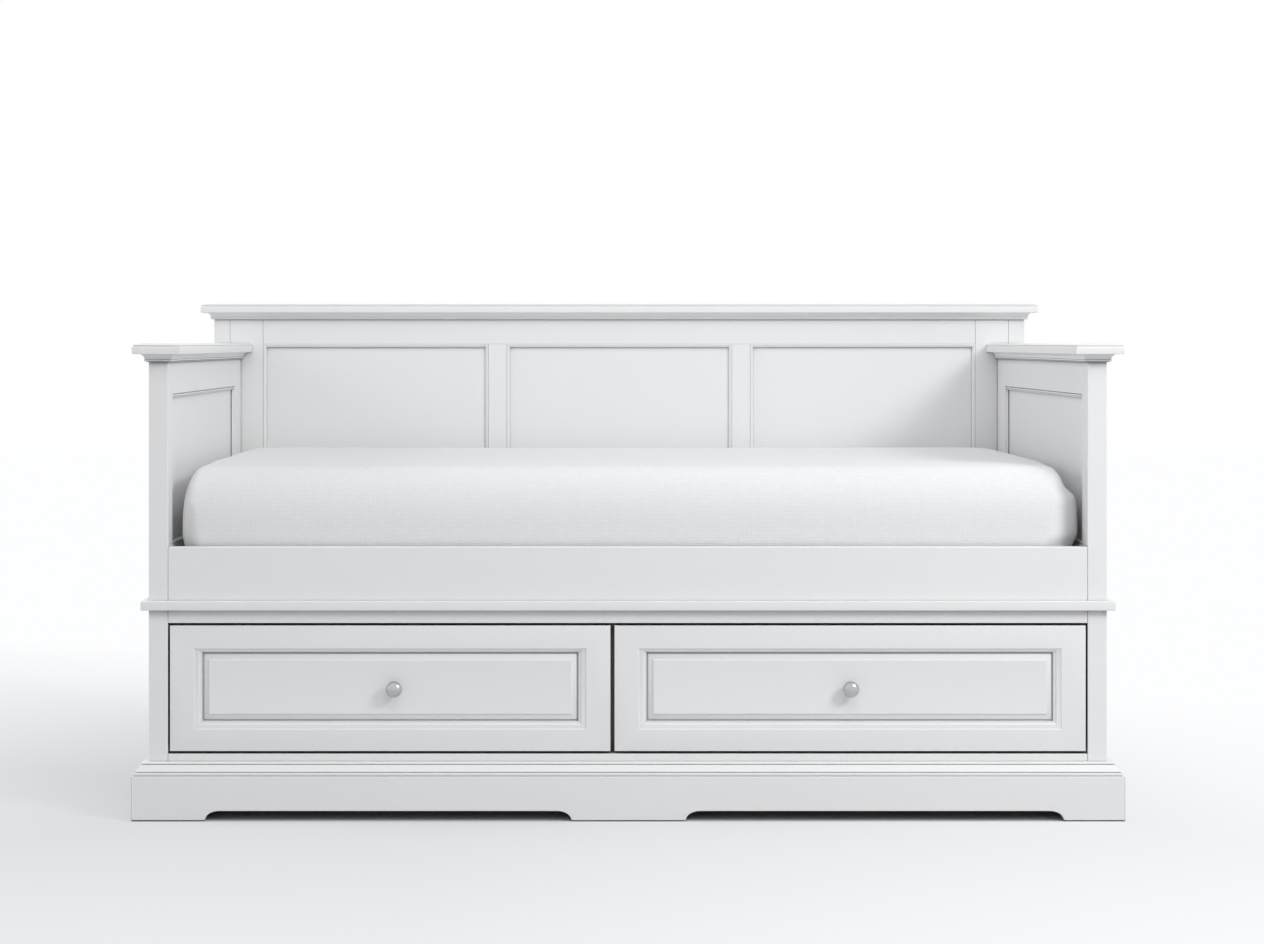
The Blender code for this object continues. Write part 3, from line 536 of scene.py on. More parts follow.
SIDES = {"left": -1, "right": 1}
dressed = dress(PAINT["x"], "back_bottom_rail", "drawer_sill_rail", "front_bed_rail", "lower_back_board")
dressed += dress(UPPER_PAINT["x"], "back_top_rail")
dressed += dress(BIRCH_SLOT, "drawer_partition")
dressed += dress(PINE_X, "slat_cleat_back", "slat_cleat_front")
for word in SIDES:
    arm, drawer = "arm_" + word, "drawer_" + word
    dressed += dress(PAINT["y"], arm + "_top_rail", arm + "_end_board", "plinth_" + word)
    dressed += dress(PAINT["z"], arm + "_back_stile", "front_post_" + word)
    dressed += dress(UPPER_PAINT["z"], "back_post_" + word, "back_stile_" + word, "back_muntin_" + word)
    dressed += dress(BIRCH_SIDE, drawer + "_side_left", drawer + "_side_right")
    dressed += dress(BIRCH_BACK, drawer + "_back")
    dressed += dress(BIRCH_FLAT, drawer + "_bottom")
    dressed += dress(BEECH_Y, drawer + "_runner_left", drawer + "_runner_right")
print("CAD pieces with a finish:", dressed)

# %% [markdown]
# ## Outlines with rounded corners
#
# A moulding is known by its section. Real sections are made of flats, beads and hollows with small
# rounds between them, and those rounds catch the light as thin bright lines. So each section below is
# a list of corners, each with the radius that the cutter or the sandpaper left on it, and one function
# turns each corner into an arc.

# %% Turn corners into arcs
SMOOTH_ANGLE = math.radians(34)


def arc_at(before, corner, after, steps):
    spot, radius = Vector(corner[:2]), corner[2]
    if radius == 0:
        return [spot]
    to_before = (Vector(before[:2]) - spot).normalized()
    to_after = (Vector(after[:2]) - spot).normalized()
    half = to_before.angle(to_after) / 2
    centre = spot + (to_before + to_after).normalized() * radius / math.sin(half)
    start = spot + to_before * radius / math.tan(half) - centre
    end = spot + to_after * radius / math.tan(half) - centre
    sweep = start.angle_signed(end)
    return [centre + Matrix.Rotation(-sweep * i / steps, 2) @ start for i in range(steps + 1)]


def section(corners, steps=4, closed=True):
    """Points in metres from corners given in millimetres as (across, up, radius)."""
    points = []
    for i, corner in enumerate(corners):
        if closed or 0 < i < len(corners) - 1:
            points += arc_at(corners[i - 1], corner, corners[(i + 1) % len(corners)], steps)
        else:
            points.append(Vector(corner[:2]))
    return [(point.x * MM, point.y * MM) for point in points]


# %% [markdown]
# ## Turning points into pieces
#
# Every piece that is made here ends in the same way: doubles are merged, the faces are turned outwards,
# smooth shading is broken at hard corners, and the piece is given to its CAD body. The last step counts
# open edges, because a printed or sliced model needs closed shells.

# %% Finish a mesh and hand it to its body
MERGE = 0.01 * MM


def finished(mesh, merge=MERGE):
    mesh_tool = bmesh.new()
    mesh_tool.from_mesh(mesh)
    bmesh.ops.remove_doubles(mesh_tool, verts=mesh_tool.verts, dist=merge)
    bmesh.ops.recalc_face_normals(mesh_tool, faces=mesh_tool.faces)
    open_edges = sum(not edge.is_manifold for edge in mesh_tool.edges)
    mesh_tool.to_mesh(mesh)
    mesh_tool.free()
    mesh.shade_smooth()
    mesh.set_sharp_from_angle(angle=SMOOTH_ANGLE)
    print(mesh.name, "faces:", len(mesh.polygons), "open edges:", open_edges)


def evaluated_mesh(piece):
    """What the piece's modifiers make of it, as a plain mesh. The piece itself goes."""
    evaluated = piece.evaluated_get(bpy.context.evaluated_depsgraph_get())
    mesh = bpy.data.meshes.new_from_object(evaluated)
    bpy.data.objects.remove(piece)
    return mesh


def new_piece(name, mesh, material=None):
    if material:
        mesh.materials.clear()
        mesh.materials.append(material)
    piece = bpy.data.objects.new(name, mesh)
    scene.collection.objects.link(piece)
    return piece


def hand_over(piece, body, slot, *replaced):
    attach(piece, body)
    if replaced:
        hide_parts(*replaced)


def loft(name, rings, material):
    """Faces between one closed ring of points and the next, with both ends filled."""
    count = len(rings[0])
    points = [point for ring in rings for point in ring]
    faces = []
    for level in range(len(rings) - 1):
        for i in range(count):
            j = (i + 1) % count
            low, high = level * count, (level + 1) * count
            faces.append((low + i, low + j, high + j, high + i))
    faces.append(tuple(range(count)))
    faces.append(tuple(range(len(points) - count, len(points))))
    mesh = bpy.data.meshes.new(name)
    mesh.from_pydata(points, [], faces)
    finished(mesh)
    return new_piece(name, mesh, material)


# %% [markdown]
# ## Geometry Nodes from a script
#
# A modifier with a node tree grows a mesh from a few named sizes. The modifier's inputs are set by the
# identifiers of their sockets, then Blender evaluates the object, and new_from_object keeps the result
# as a plain mesh. The helper object and its modifier are removed, so that nothing is left to evaluate.

# %% Grow one plain mesh from a tree
def grown(name, tree, values, place=None, merge=MERGE):
    holder = new_piece(name + "_holder", bpy.data.meshes.new(name + "_holder"))
    modifier = holder.modifiers.new("tree", "NODES")
    modifier.node_group = tree
    for item in tree.interface.items_tree:
        if item.in_out == "INPUT" and item.name in values:
            modifier[item.identifier] = values[item.name]
    mesh = evaluated_mesh(holder)
    mesh.name = name
    if place:
        mesh.transform(place)
    finished(mesh, merge)
    return new_piece(name, mesh)


def upright_curve(tree, kind, inputs):
    curve = add_node(tree, "GeometryNodeCurvePrimitive" + kind, inputs).outputs[0]
    return add_node(tree, "GeometryNodeSetCurveNormal", {"Curve": curve}, mode="Z_UP").outputs[0]


def outline_of(tree, holder):
    """The loop of edges that a section object holds, as a curve."""
    edges = add_node(tree, "GeometryNodeObjectInfo", {"Object": holder}).outputs["Geometry"]
    return add_node(tree, "GeometryNodeMeshToCurve", {"Mesh": edges}).outputs[0]


def swept(tree, path, outline, fill=False):
    inputs = {"Curve": path, "Profile Curve": outline, "Fill Caps": fill}
    return add_node(tree, "GeometryNodeCurveToMesh", inputs).outputs[0]


def row_of(tree, count, step):
    return add_node(tree, "GeometryNodeMeshLine", {"Count": count, "Offset": step}).outputs[0]


def copies_on(tree, points, copied, **inputs):
    inputs = {"Points": points, "Instance": copied, **inputs}
    return add_node(tree, "GeometryNodeInstanceOnPoints", inputs).outputs[0]


def realized(tree, geometry):
    return add_node(tree, "GeometryNodeRealizeInstances", {"Geometry": geometry}).outputs[0]


def random_values(tree, inputs):
    return add_node(tree, "FunctionNodeRandomValue", inputs, data_type="FLOAT").outputs[1]


def end_tree(tree, geometry, finish, result):
    """The end of every tree here: real meshes with their finish."""
    inputs = {"Geometry": realized(tree, geometry), "Material": finish}
    coated = add_node(tree, "GeometryNodeSetMaterial", inputs).outputs[0]
    tree.links.new(coated, result["Geometry"])
    return tree


def geometry_tree(name, inputs):
    return new_group(name, "GeometryNodeTree", inputs, [("Geometry", "Geometry")])


def section_object(name, points):
    """A closed outline as a loop of edges. A sweep turns the outline's Y downwards, so Y is negated."""
    mesh = bpy.data.meshes.new(name)
    loop = [(i, (i + 1) % len(points)) for i in range(len(points))]
    mesh.from_pydata([(across, -up, 0) for across, up in points], loop, [])
    return new_piece(name, mesh)


# %% [markdown]
# ## A mitred strip
#
# The base moulding and the belt moulding each run round the front and the sides, cut at 45 degrees
# where they meet. A saw cut leans outwards by as much as the section stands out, so the tree sweeps the
# section along a straight line, and then moves the points of each end along the strip by their own
# distance from the wall, times 1 for a mitre and 0 for a square end.

# %% The tree for a mitred strip
def make_strip_tree():
    tree, given, result = geometry_tree(
        "mitred_strip",
        [
            ("Section", "Object", None),
            ("Length", "Float", 1.0),
            ("Start Mitre", "Float", 1.0),
            ("End Mitre", "Float", 1.0),
            ("Finish", "Material", None),
        ],
    )
    line = upright_curve(tree, "Line", {"End": vector_of(tree, given["Length"])})
    strip = swept(tree, line, outline_of(tree, given["Section"]), fill=True)
    where = parts_of(tree, add_node(tree, "GeometryNodeInputPosition").outputs[0])
    share = calc(tree, "DIVIDE", where[0], given["Length"])
    at_end = calc(tree, "MULTIPLY", share, given["End Mitre"])
    at_start = calc(tree, "MULTIPLY", calc(tree, "SUBTRACT", 1.0, share), given["Start Mitre"])
    slide = calc(tree, "MULTIPLY", where[1], calc(tree, "SUBTRACT", at_start, at_end))
    inputs = {"Geometry": strip, "Offset": vector_of(tree, slide)}
    sheared = add_node(tree, "GeometryNodeSetPosition", inputs).outputs[0]
    return end_tree(tree, sheared, given["Finish"], result)


STRIP = make_strip_tree()
print("tree:", STRIP.name)

# %% [markdown]
# ## The base moulding and the belt moulding
#
# The base moulding sits on the plinth and leads the eye in to the posts: a round bead at the bottom,
# a hollow above it and a small upright at the top. The belt is a plain square strip with softened
# edges. Both are swept in three lengths from the same tree, one for the front and one for each side.

# %% Sweep the two mouldings
JOINT = 0.3
BASE_SECTION = section(
    [
        (0.3, 0, 0), (25.8, 0, 0.8), (27.0, 1.3, 1.3), (27.0, 5.3, 1.3), (25.9, 6.5, 0.5), (22.8, 6.6, 0.1),
        (22.8, 8.0, 0.1), (24.7, 8.1, 0.3), (19.6, 14.6, 16.0), (15.8, 21.2, 0.3), (12.4, 21.3, 0.1),
        (12.4, 22.5, 0.1), (14.0, 22.6, 0.3), (13.2, 25.1, 0.8), (11.6, 25.7, 0.6), (0.3, 25.7, 0),
    ]
)
BELT_SECTION = section([(0.3, 0, 0), (14.4, 0, 1.5), (14.4, 19, 1.2), (0.3, 19, 0)])


def mitred_run(name, points, cad_reach):
    """Three strips against the walls that the three CAD nodes of that name lie on."""
    outline = section_object(name + "_section", points)
    low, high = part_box(name + "_front")
    wall_front, wall_side = low.y + cad_reach, high.x - cad_reach + JOINT * MM
    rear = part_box(name + "_left")[1].y
    front_length = 2 * (wall_side - JOINT * MM)
    side_length = rear - wall_front - JOINT * MM
    plans = (
        ("front", front_length, 1.0, 1.0, 0, (-front_length / 2, wall_front, low.z), "x"),
        ("left", side_length, 0.0, 1.0, -90, (-wall_side, rear, low.z), "y"),
        ("right", side_length, 1.0, 0.0, 90, (wall_side, rear - side_length, low.z), "y"),
    )
    for word, length, start, end, angle, corner, direction in plans:
        place = Matrix.Translation(corner) @ Matrix.Rotation(math.radians(angle), 4, "Z")
        values = {"Section": outline, "Length": length, "Start Mitre": start, "End Mitre": end}
        strip = grown(f"{name}_strip_{word}", STRIP, {**values, "Finish": MOULDED[direction]}, place)
        hand_over(strip, "root", "white_paint", f"{name}_{word}")
    bpy.data.objects.remove(outline)


mitred_run("base_moulding", BASE_SECTION, 27 * MM)
mitred_run("belt_moulding", BELT_SECTION, 12 * MM)

# %% [markdown]
# ## The plinth's front
#
# Two low arches are sawn in the plinth's front, which leaves three feet. The CAD has them with a few
# straight steps, so the board is made again with finer curves. It is one outline on the front face and
# one on the rear face, a little shorter because the ends are mitred, and a Bevel modifier eases the
# edges as sandpaper does. The feet end 2 mm above the floor, as they do on thin felt glides, which gives
# the dark line that the photograph shows there.

# %% Cut the plinth's front
EASE = 1.2 * MM
GLIDE_GAP = 2 * MM
ARCH_STEPS = 14


def arch(start, end, rise=21.5 * MM, curve=30 * MM, flare=4 * MM, flare_rise=3 * MM):
    """A low arch's outline on the floor, from its left foot to its right one."""
    half = [(start, GLIDE_GAP)]
    for i in range(ARCH_STEPS + 1):
        turn = math.pi / 2 * i / ARCH_STEPS
        across = start + flare + curve * (1 - math.cos(turn))
        half.append((across, flare_rise + (rise - flare_rise) * math.sin(turn)))
    return half + [(start + end - across, up) for across, up in reversed(half)]


def plinth_front():
    low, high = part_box("plinth_front")
    feet = {"left": 149 * MM, "middle": 230 * MM, "right": 123 * MM}
    middle = 1 * MM
    outer = high.x + JOINT * MM
    arches = arch(feet["left"] - outer, middle - feet["middle"] / 2)
    arches += arch(middle + feet["middle"] / 2, outer - feet["right"])
    thickness = high.y - low.y
    rings = []
    for level, reach in ((low.y, high.x), (high.y, high.x - thickness)):
        feet_ends = (-reach, GLIDE_GAP), (reach, GLIDE_GAP)
        outline = [feet_ends[0], *arches, feet_ends[1], (reach, high.z), (-reach, high.z)]
        rings.append([(across, level, up) for across, up in outline])
    board = loft("plinth_front_board", rings, PAINT["x"])
    bevel = board.modifiers.new("eased_edges", "BEVEL")
    bevel.width, bevel.segments = EASE, 3
    bevel.limit_method, bevel.angle_limit = "ANGLE", math.radians(40)
    return board


hand_over(plinth_front(), "root", "white_paint", "plinth_front")

# %% [markdown]
# ## Crowns and caps
#
# Under each cap runs a crown moulding, a round bead and then a hollow that spreads outwards. The cap
# above it is a board with an upright face, a soft shoulder and a long bevel. Both go round a rectangle,
# so each point of the section gives one level ring of four corners, and the rings are lofted. On the
# arms the rear end is flat, because it butts against the back.

# %% Loft the crowns and caps
def crown_section(groove):
    """A fillet, a groove of the given depth, a bead, a quirk and a hollow, as outset and rise."""
    corners = [(6.4, 0), (6.8, 0.2), (6.8, 0.9), (6.5, 1.1), (6.5 - groove, 1.1), (6.5 - groove, 2.3)]
    for turn in np.linspace(-1.5, 1.5, 9):
        corners.append((6.9 + 1.9 * math.cos(turn), 3.9 + 1.6 * math.sin(turn)))
    corners += [(6.6, 5.6), (6.6, 6.2)]
    for turn in np.linspace(0, math.pi / 2, 14):
        corners.append((7.6 + 12.6 * (1 - math.cos(turn)), 6.3 + 11.3 * math.sin(turn)))
    corners += [(20.6, 17.6), (20.6, 18.2)]
    return [(across * MM, up * MM) for across, up in corners]


CAP_SECTION = section(
    [
        (27.0, 0, 0), (27.1, -1.5, 0.1), (29.7, -1.5, 1.0), (29.7, 14.9, 4.2), (27.2, 15.2, 0.1),
        (27.2, 16.2, 0.1), (28.6, 16.3, 0.3), (27.2, 17.6, 0.9), (16.4, 20.2, 1.5), (13.2, 20.7, 0),
    ],
    closed=False,
)
CROWN_GROOVES = {"back": 0.4, "arm": 3.5}


def rings_round(corner_low, corner_high, outline, bottom, rear_stands_out):
    rings = []
    for out, rise in outline:
        rear = corner_high[1] + (out if rear_stands_out else 0)
        left, right, front = corner_low[0] - out, corner_high[0] + out, corner_low[1] - out
        corners = ((left, front), (right, front), (right, rear), (left, rear))
        rings.append([(*corner, bottom + rise) for corner in corners])
    return rings


def crown_and_cap(name, direction, rear_stands_out):
    crown = crown_section(CROWN_GROOVES[name.split("_")[0]])
    for part, outline in (("crown", crown), ("cap", CAP_SECTION)):
        low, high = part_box(f"{name}_{part}")
        reach = max(out for out, rise in outline)
        rear = high.y - (reach if rear_stands_out else 0)
        inner_low, inner_high = (low.x + reach, low.y + reach), (high.x - reach, rear)
        rings = rings_round(inner_low, inner_high, outline, low.z, rear_stands_out)
        crown_paint = CROWN_PAINT if rear_stands_out else MOULDED[direction]
        finish = crown_paint if part == "crown" else CAP_PAINT[direction]
        piece = loft(f"{name}_{part}_moulding", rings, finish)
        hand_over(piece, "root", "white_paint", f"{name}_{part}")


crown_and_cap("back", "x", True)
for word in SIDES:
    crown_and_cap("arm_" + word, "y", False)

# %% [markdown]
# ## A mitred frame of beading
#
# Each panel of the arms and the back is a flat board held in its frame by a thin bead on each face.
# The bead goes round a rectangle with mitred corners. A sweep round sharp corners would pinch the
# section there, because a mitre's diagonal is longer than the section by the square root of two. All
# four corners are alike, so stretching the section by that much before the sweep makes every length of
# bead true.

# %% The tree for a mitred frame
def make_frame_tree():
    tree, given, result = geometry_tree(
        "mitred_frame",
        [
            ("Section", "Object", None),
            ("Width", "Float", 1.0),
            ("Height", "Float", 0.5),
            ("Finish", "Material", None),
        ],
    )
    path = upright_curve(tree, "Quadrilateral", {"Width": given["Width"], "Height": given["Height"]})
    inputs = {"Geometry": outline_of(tree, given["Section"]), "Scale": (math.sqrt(2), 1, 1)}
    outline = add_node(tree, "GeometryNodeTransform", inputs).outputs[0]
    return end_tree(tree, swept(tree, path, outline), given["Finish"], result)


FRAME_OF_BEAD = make_frame_tree()
print("tree:", FRAME_OF_BEAD.name)

# %% Panels and their beading
BEAD_WIDTH = 8.5
FRONT_RECESS = 9.0
BOARD_THICKNESS = 18.0
BOARD_EASE, BEAD_PLAY = 0.5 * MM, 0.02 * MM


def bead_section(recess, groove):
    """A groove, a bead, a quirk and a flat, undercut where it meets the panel, across and downwards."""
    deep = -1.3 - groove
    corners = [
        (-JOINT, -recess, 0), (-JOINT, deep, 0), (-1.5, deep, 0.1), (-1.5, -1.3, 0.2), (-3.0, -0.6, 1.3),
        (-4.7, -1.7, 0.9), (-5.0, -2.2 - groove, 0.3), (-6.9, -2.8 - groove, 0.4),
        (-BEAD_WIDTH, 2.9 - recess, 0.4), (-BEAD_WIDTH, 2.0 - recess, 0.1), (-6.2, 2.0 - recess, 0.1),
        (-6.2, -recess, 0),
    ]
    return section(corners)


def toward(normal, middle):
    """The place of something made flat in XY, turned to face a direction and moved to a point."""
    up = Vector((0, 0, 1))
    side = up.cross(normal)
    turn = Matrix((side, up, normal)).transposed().to_4x4()
    return Matrix.Translation(middle) @ turn


def panel(name, direction, normal, groove, finish):
    """The board and both its frames of bead. The normal points from the panel to the seat."""
    low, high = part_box(name)
    middle, span = (low + high) / 2, high - low
    gap = 2 * JOINT * MM
    width = (span.x if abs(normal.y) else span.y) + gap
    depth = span.y if abs(normal.y) else span.x
    far_recess = depth / MM - FRONT_RECESS - BOARD_THICKNESS
    near_face = middle + normal * depth / 2
    board_middle = near_face - normal * (FRONT_RECESS + BOARD_THICKNESS / 2) * MM
    mesh_tool = bmesh.new()
    bmesh.ops.create_cube(mesh_tool, size=1)
    size = Vector((width - gap, span.z, BOARD_THICKNESS * MM - BEAD_PLAY))
    bmesh.ops.scale(mesh_tool, vec=size, verts=mesh_tool.verts)
    bmesh.ops.bevel(mesh_tool, geom=mesh_tool.edges, offset=BOARD_EASE, segments=2, affect="EDGES")
    mesh = bpy.data.meshes.new(name + "_board")
    mesh_tool.to_mesh(mesh)
    mesh_tool.free()
    mesh.transform(toward(normal, board_middle))
    finished(mesh)
    board = new_piece(name + "_board", mesh, PAINT[direction])
    hand_over(board, "root", "white_paint", name)
    far_face = near_face - normal * depth
    faces = ("seat", normal, near_face, FRONT_RECESS), ("rear", -normal, far_face, far_recess)
    for word, facing, place, recess in faces:
        outline = section_object(name + "_bead_section", bead_section(recess, groove))
        values = {"Section": outline, "Width": width, "Height": span.z + gap, "Finish": finish}
        bead = grown(f"{name}_bead_{word}", FRAME_OF_BEAD, values, toward(facing, place))
        bpy.data.objects.remove(outline)
        hand_over(bead, "root", "white_paint")


for word in ("left", "middle", "right"):
    panel("back_panel_" + word, "x", Vector((0, -1, 0)), 0.7, MOULDED["x"])
for word, side in SIDES.items():
    panel(f"arm_{word}_panel", "y", Vector((-side, 0, 0)), 2.5, PAINT["y"])

# %% [markdown]
# ## Drawer fronts
#
# Each drawer front looks like a frame with a raised panel: a soft lip, a step, a groove, and then a
# bevel that comes back up to the field. It is cut in one board, so each step of the section is one ring
# round the field, from the edge of the board to the field's edge. The rear is flat.

# %% Loft the drawer fronts
RAISED_SECTION = section(
    [
        (50.0, 0, 0), (50.3, 0, 0.1), (52.3, 2.1, 0.4), (60.6, 3.4, 0.4), (63.6, 6.2, 0.4), (66.8, 6.4, 0.3),
        (67.8, 11.5, 0.3), (70.0, 11.5, 0.3), (71.2, 9.4, 0.8), (80.6, 5.4, 0.3), (82.0, 3.4, 0.3),
        (83.4, 2.7, 0.3), (85.4, 3.0, 0),
    ],
    closed=False,
)
# Where the section's main steps lie, and where they lie on this front's sides, top and bottom.
REFERENCE = np.array((0, 50.0, 69.0, 82.5, 85.4)) * MM
SIDE_INSETS = (0.7, 50.5, 69.0, 82.0, 85.4)
TOP_INSETS = (0.8, 48.3, 58.0, 73.3, 76.4)
BOTTOM_INSETS = (0.8, 45.5, 64.0, 78.3, 80.8)
INSETS = np.array((SIDE_INSETS, TOP_INSETS, BOTTOM_INSETS)) * MM


def drawer_front(word):
    name = f"drawer_{word}_front"
    low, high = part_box(name)
    thickness = high.y - low.y
    turns = np.linspace(0, math.pi / 2, 4)
    rear = [(EASE * (1 - math.sin(turn)), thickness - EASE * (1 - math.cos(turn))) for turn in turns]
    front = [(EASE * (1 - math.cos(turn)), EASE * (1 - math.sin(turn))) for turn in turns]
    rings = []
    for inset, deep in [*rear, *front, *RAISED_SECTION]:
        side, top, bottom = (float(np.interp(inset, REFERENCE, insets)) for insets in INSETS)
        left, right, floor_level, roof_level = low.x + side, high.x - side, low.z + bottom, high.z - top
        corners = ((left, floor_level), (right, floor_level), (right, roof_level), (left, roof_level))
        rings.append([(across, low.y + deep, up) for across, up in corners])
    board = loft(f"drawer_{word}_raised_front", rings, DRAWER_PAINT)
    hand_over(board, "drawer_" + word, "white_paint", name)


for word in SIDES:
    drawer_front(word)

# %% [markdown]
# ## Knobs
#
# A knob is turned on a lathe, so it is one outline spun round its axis: a thin foot, a waisted neck and
# a flattened ball. The Screw modifier does the same as the lathe. Behind each drawer front is the
# washer-headed screw that holds the knob, which shows when the drawer is open.

# %% Turn the knobs
KNOB_STEPS = 64
HEAD_START = 7.4 * MM


def turned(name, outline, across, front, level, material):
    """An outline of radius and reach towards the front, spun round a level axis."""
    mesh = bpy.data.meshes.new(name)
    points = [(radius, -reach, 0) for radius, reach in outline]
    mesh.from_pydata(points, [(i, i + 1) for i in range(len(points) - 1)], [])
    lathe = new_piece(name, mesh, material)
    spin = lathe.modifiers.new("turned", "SCREW")
    spin.axis = "Y"
    spin.steps = spin.render_steps = KNOB_STEPS
    spin.use_merge_vertices = True
    spin.merge_threshold = MERGE
    plain = evaluated_mesh(lathe)
    plain.name = name
    plain.transform(Matrix.Translation((across, front, level)))
    finished(plain)
    return new_piece(name, plain, material)


def knob_outline(radius, reach):
    """From the middle of the foot, round the waist, to the middle of the head."""
    head_deep = 22 * MM
    centre = reach - head_deep / 2
    foot = (0, 0), (8.7, 0), (9.0, 0.3), (9.0, 1.6), (8.6, 2.1), (7.4, 2.5), (6.5, 3.3), (6.0, 4.6), (6.0, 6.2)
    points = [(out * MM, along * MM) for out, along in foot]
    for turn in np.linspace(math.asin(HEAD_START / radius), math.pi, 30):
        points.append((radius * math.sin(turn), centre - head_deep / 2 * math.cos(turn)))
    points[-1] = (0, reach)
    return points


for word in SIDES:
    name = f"drawer_{word}_knob"
    low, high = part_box(name)
    middle = (low + high) / 2
    outline = knob_outline((high.x - low.x) / 2, high.y - low.y)
    knob = turned(f"drawer_{word}_turned_knob", outline, middle.x, high.y, middle.z, NICKEL)
    hand_over(knob, "drawer_" + word, "nickel", name)
    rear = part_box(f"drawer_{word}_front")[1].y
    head = [(0, 0), (8.0, 0), (8.0, -0.9), (6.6, -1.2), (4.6, -1.4), (3.9, -3.0), (2.4, -3.6), (0, -3.7)]
    head = [(radius * MM, reach * MM) for radius, reach in head]
    screw = turned(f"drawer_{word}_knob_screw", head, middle.x, rear, middle.z, ZINC)
    hand_over(screw, "drawer_" + word, "nickel")

# %% [markdown]
# ## The slats
#
# Fourteen pine slats lie across the bed on two battens. They are alike and evenly spaced, so a tree
# makes one rounded slat and puts a copy on each point of a line. Every copy gets a tone of its own from
# a seeded random value, which the wood's material reads, because no two boards are the same colour.

# %% The tree for a row of slats
def make_slat_tree():
    tree, given, result = geometry_tree(
        "row_of_slats",
        [
            ("Slat Width", "Float", 0.068),
            ("Slat Thickness", "Float", 0.018),
            ("Slat Length", "Float", 0.994),
            ("Round", "Float", 0.004),
            ("Count", "Int", 14),
            ("Pitch", "Float", 0.14),
            ("Seed", "Int", 7),
            ("Finish", "Material", None),
        ],
    )
    sizes = {"Width": given["Slat Width"], "Height": given["Slat Thickness"]}
    outline = add_node(tree, "GeometryNodeCurvePrimitiveQuadrilateral", sizes).outputs[0]
    inputs = {"Curve": outline, "Radius": given["Round"], "Count": 4}
    outline = add_node(tree, "GeometryNodeFilletCurve", inputs, mode="POLY").outputs[0]
    line = upright_curve(tree, "Line", {"End": vector_of(tree, 0, given["Slat Length"])})
    row = row_of(tree, given["Count"], vector_of(tree, given["Pitch"]))
    placed = copies_on(tree, row, swept(tree, line, outline, fill=True))
    tone = random_values(tree, {"Seed": given["Seed"]})
    inputs = {"Geometry": placed, "Name": "board_tone", "Value": tone}
    kinds = {"data_type": "FLOAT", "domain": "INSTANCE"}
    marked = add_node(tree, "GeometryNodeStoreNamedAttribute", inputs, **kinds).outputs[0]
    return end_tree(tree, marked, given["Finish"], result)


SLAT_ROW = make_slat_tree()
slat_low, slat_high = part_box("slat_base")
SLAT_COUNT, SLAT_WIDTH, SLAT_THICKNESS = 14, 68 * MM, 18 * MM
SLAT_PITCH = (slat_high.x - slat_low.x - SLAT_WIDTH) / (SLAT_COUNT - 1)
first_slat = (slat_low.x + SLAT_WIDTH / 2, slat_low.y, slat_high.z - SLAT_THICKNESS / 2)
slat_values = {
    "Slat Width": SLAT_WIDTH,
    "Slat Thickness": SLAT_THICKNESS,
    "Slat Length": slat_high.y - slat_low.y,
    "Round": 4 * MM,
    "Count": SLAT_COUNT,
    "Pitch": SLAT_PITCH,
    "Seed": 7,
    "Finish": PINE_SLATS,
}
slats = grown("pine_slats", SLAT_ROW, slat_values, Matrix.Translation(first_slat))
hand_over(slats, "root", "pine", "slat_base")

# %% The two battens
BATTEN_WIDTH = 40 * MM
BATTEN_FRONTS = (-297.45 * MM, 228.55 * MM)
for word, near in zip(("front", "back"), BATTEN_FRONTS):
    outline = section([(-20, 0, 0), (-20, -11, 1.5), (20, -11, 1.5), (20, 0, 0)])
    ring = [(near + BATTEN_WIDTH / 2 + across, slat_high.z - SLAT_THICKNESS + up) for across, up in outline]
    rings = [[(level, across, up) for across, up in ring] for level in (slat_low.x, slat_high.x)]
    hand_over(loft("slat_batten_" + word, rings, PINE_X), "root", "pine")

# %% [markdown]
# ## Screws in the slats
#
# Two screws hold each slat on each batten. The head is modelled once, a low dome with a crossed
# recess, in a few dozen faces because there are fifty-six of them. A tree puts a pair on each crossing
# of a slat and a batten, and turns every head by a random angle, since nobody lines them up.

# %% The tree for rows of screws
def make_screw_tree():
    tree, given, result = geometry_tree(
        "rows_of_screws",
        [
            ("Head", "Object", None),
            ("Columns", "Int", 14),
            ("Column Pitch", "Float", 0.14),
            ("Rows", "Int", 2),
            ("Row Pitch", "Float", 0.5),
            ("Pair Along", "Float", 0.03),
            ("Pair Across", "Float", 0.02),
            ("Seed", "Int", 3),
            ("Finish", "Material", None),
        ],
    )
    column = row_of(tree, given["Columns"], vector_of(tree, given["Column Pitch"]))
    rows = row_of(tree, given["Rows"], vector_of(tree, 0, given["Row Pitch"]))
    crossings = realized(tree, copies_on(tree, rows, column))
    pair = row_of(tree, 2, vector_of(tree, given["Pair Along"], given["Pair Across"]))
    spots = realized(tree, copies_on(tree, crossings, pair))
    head = add_node(tree, "GeometryNodeObjectInfo", {"Object": given["Head"]}).outputs["Geometry"]
    turn = vector_of(tree, 0, 0, random_values(tree, {3: math.tau, "Seed": given["Seed"]}))
    heads = copies_on(tree, spots, head, Rotation=turn)
    return end_tree(tree, heads, given["Finish"], result)


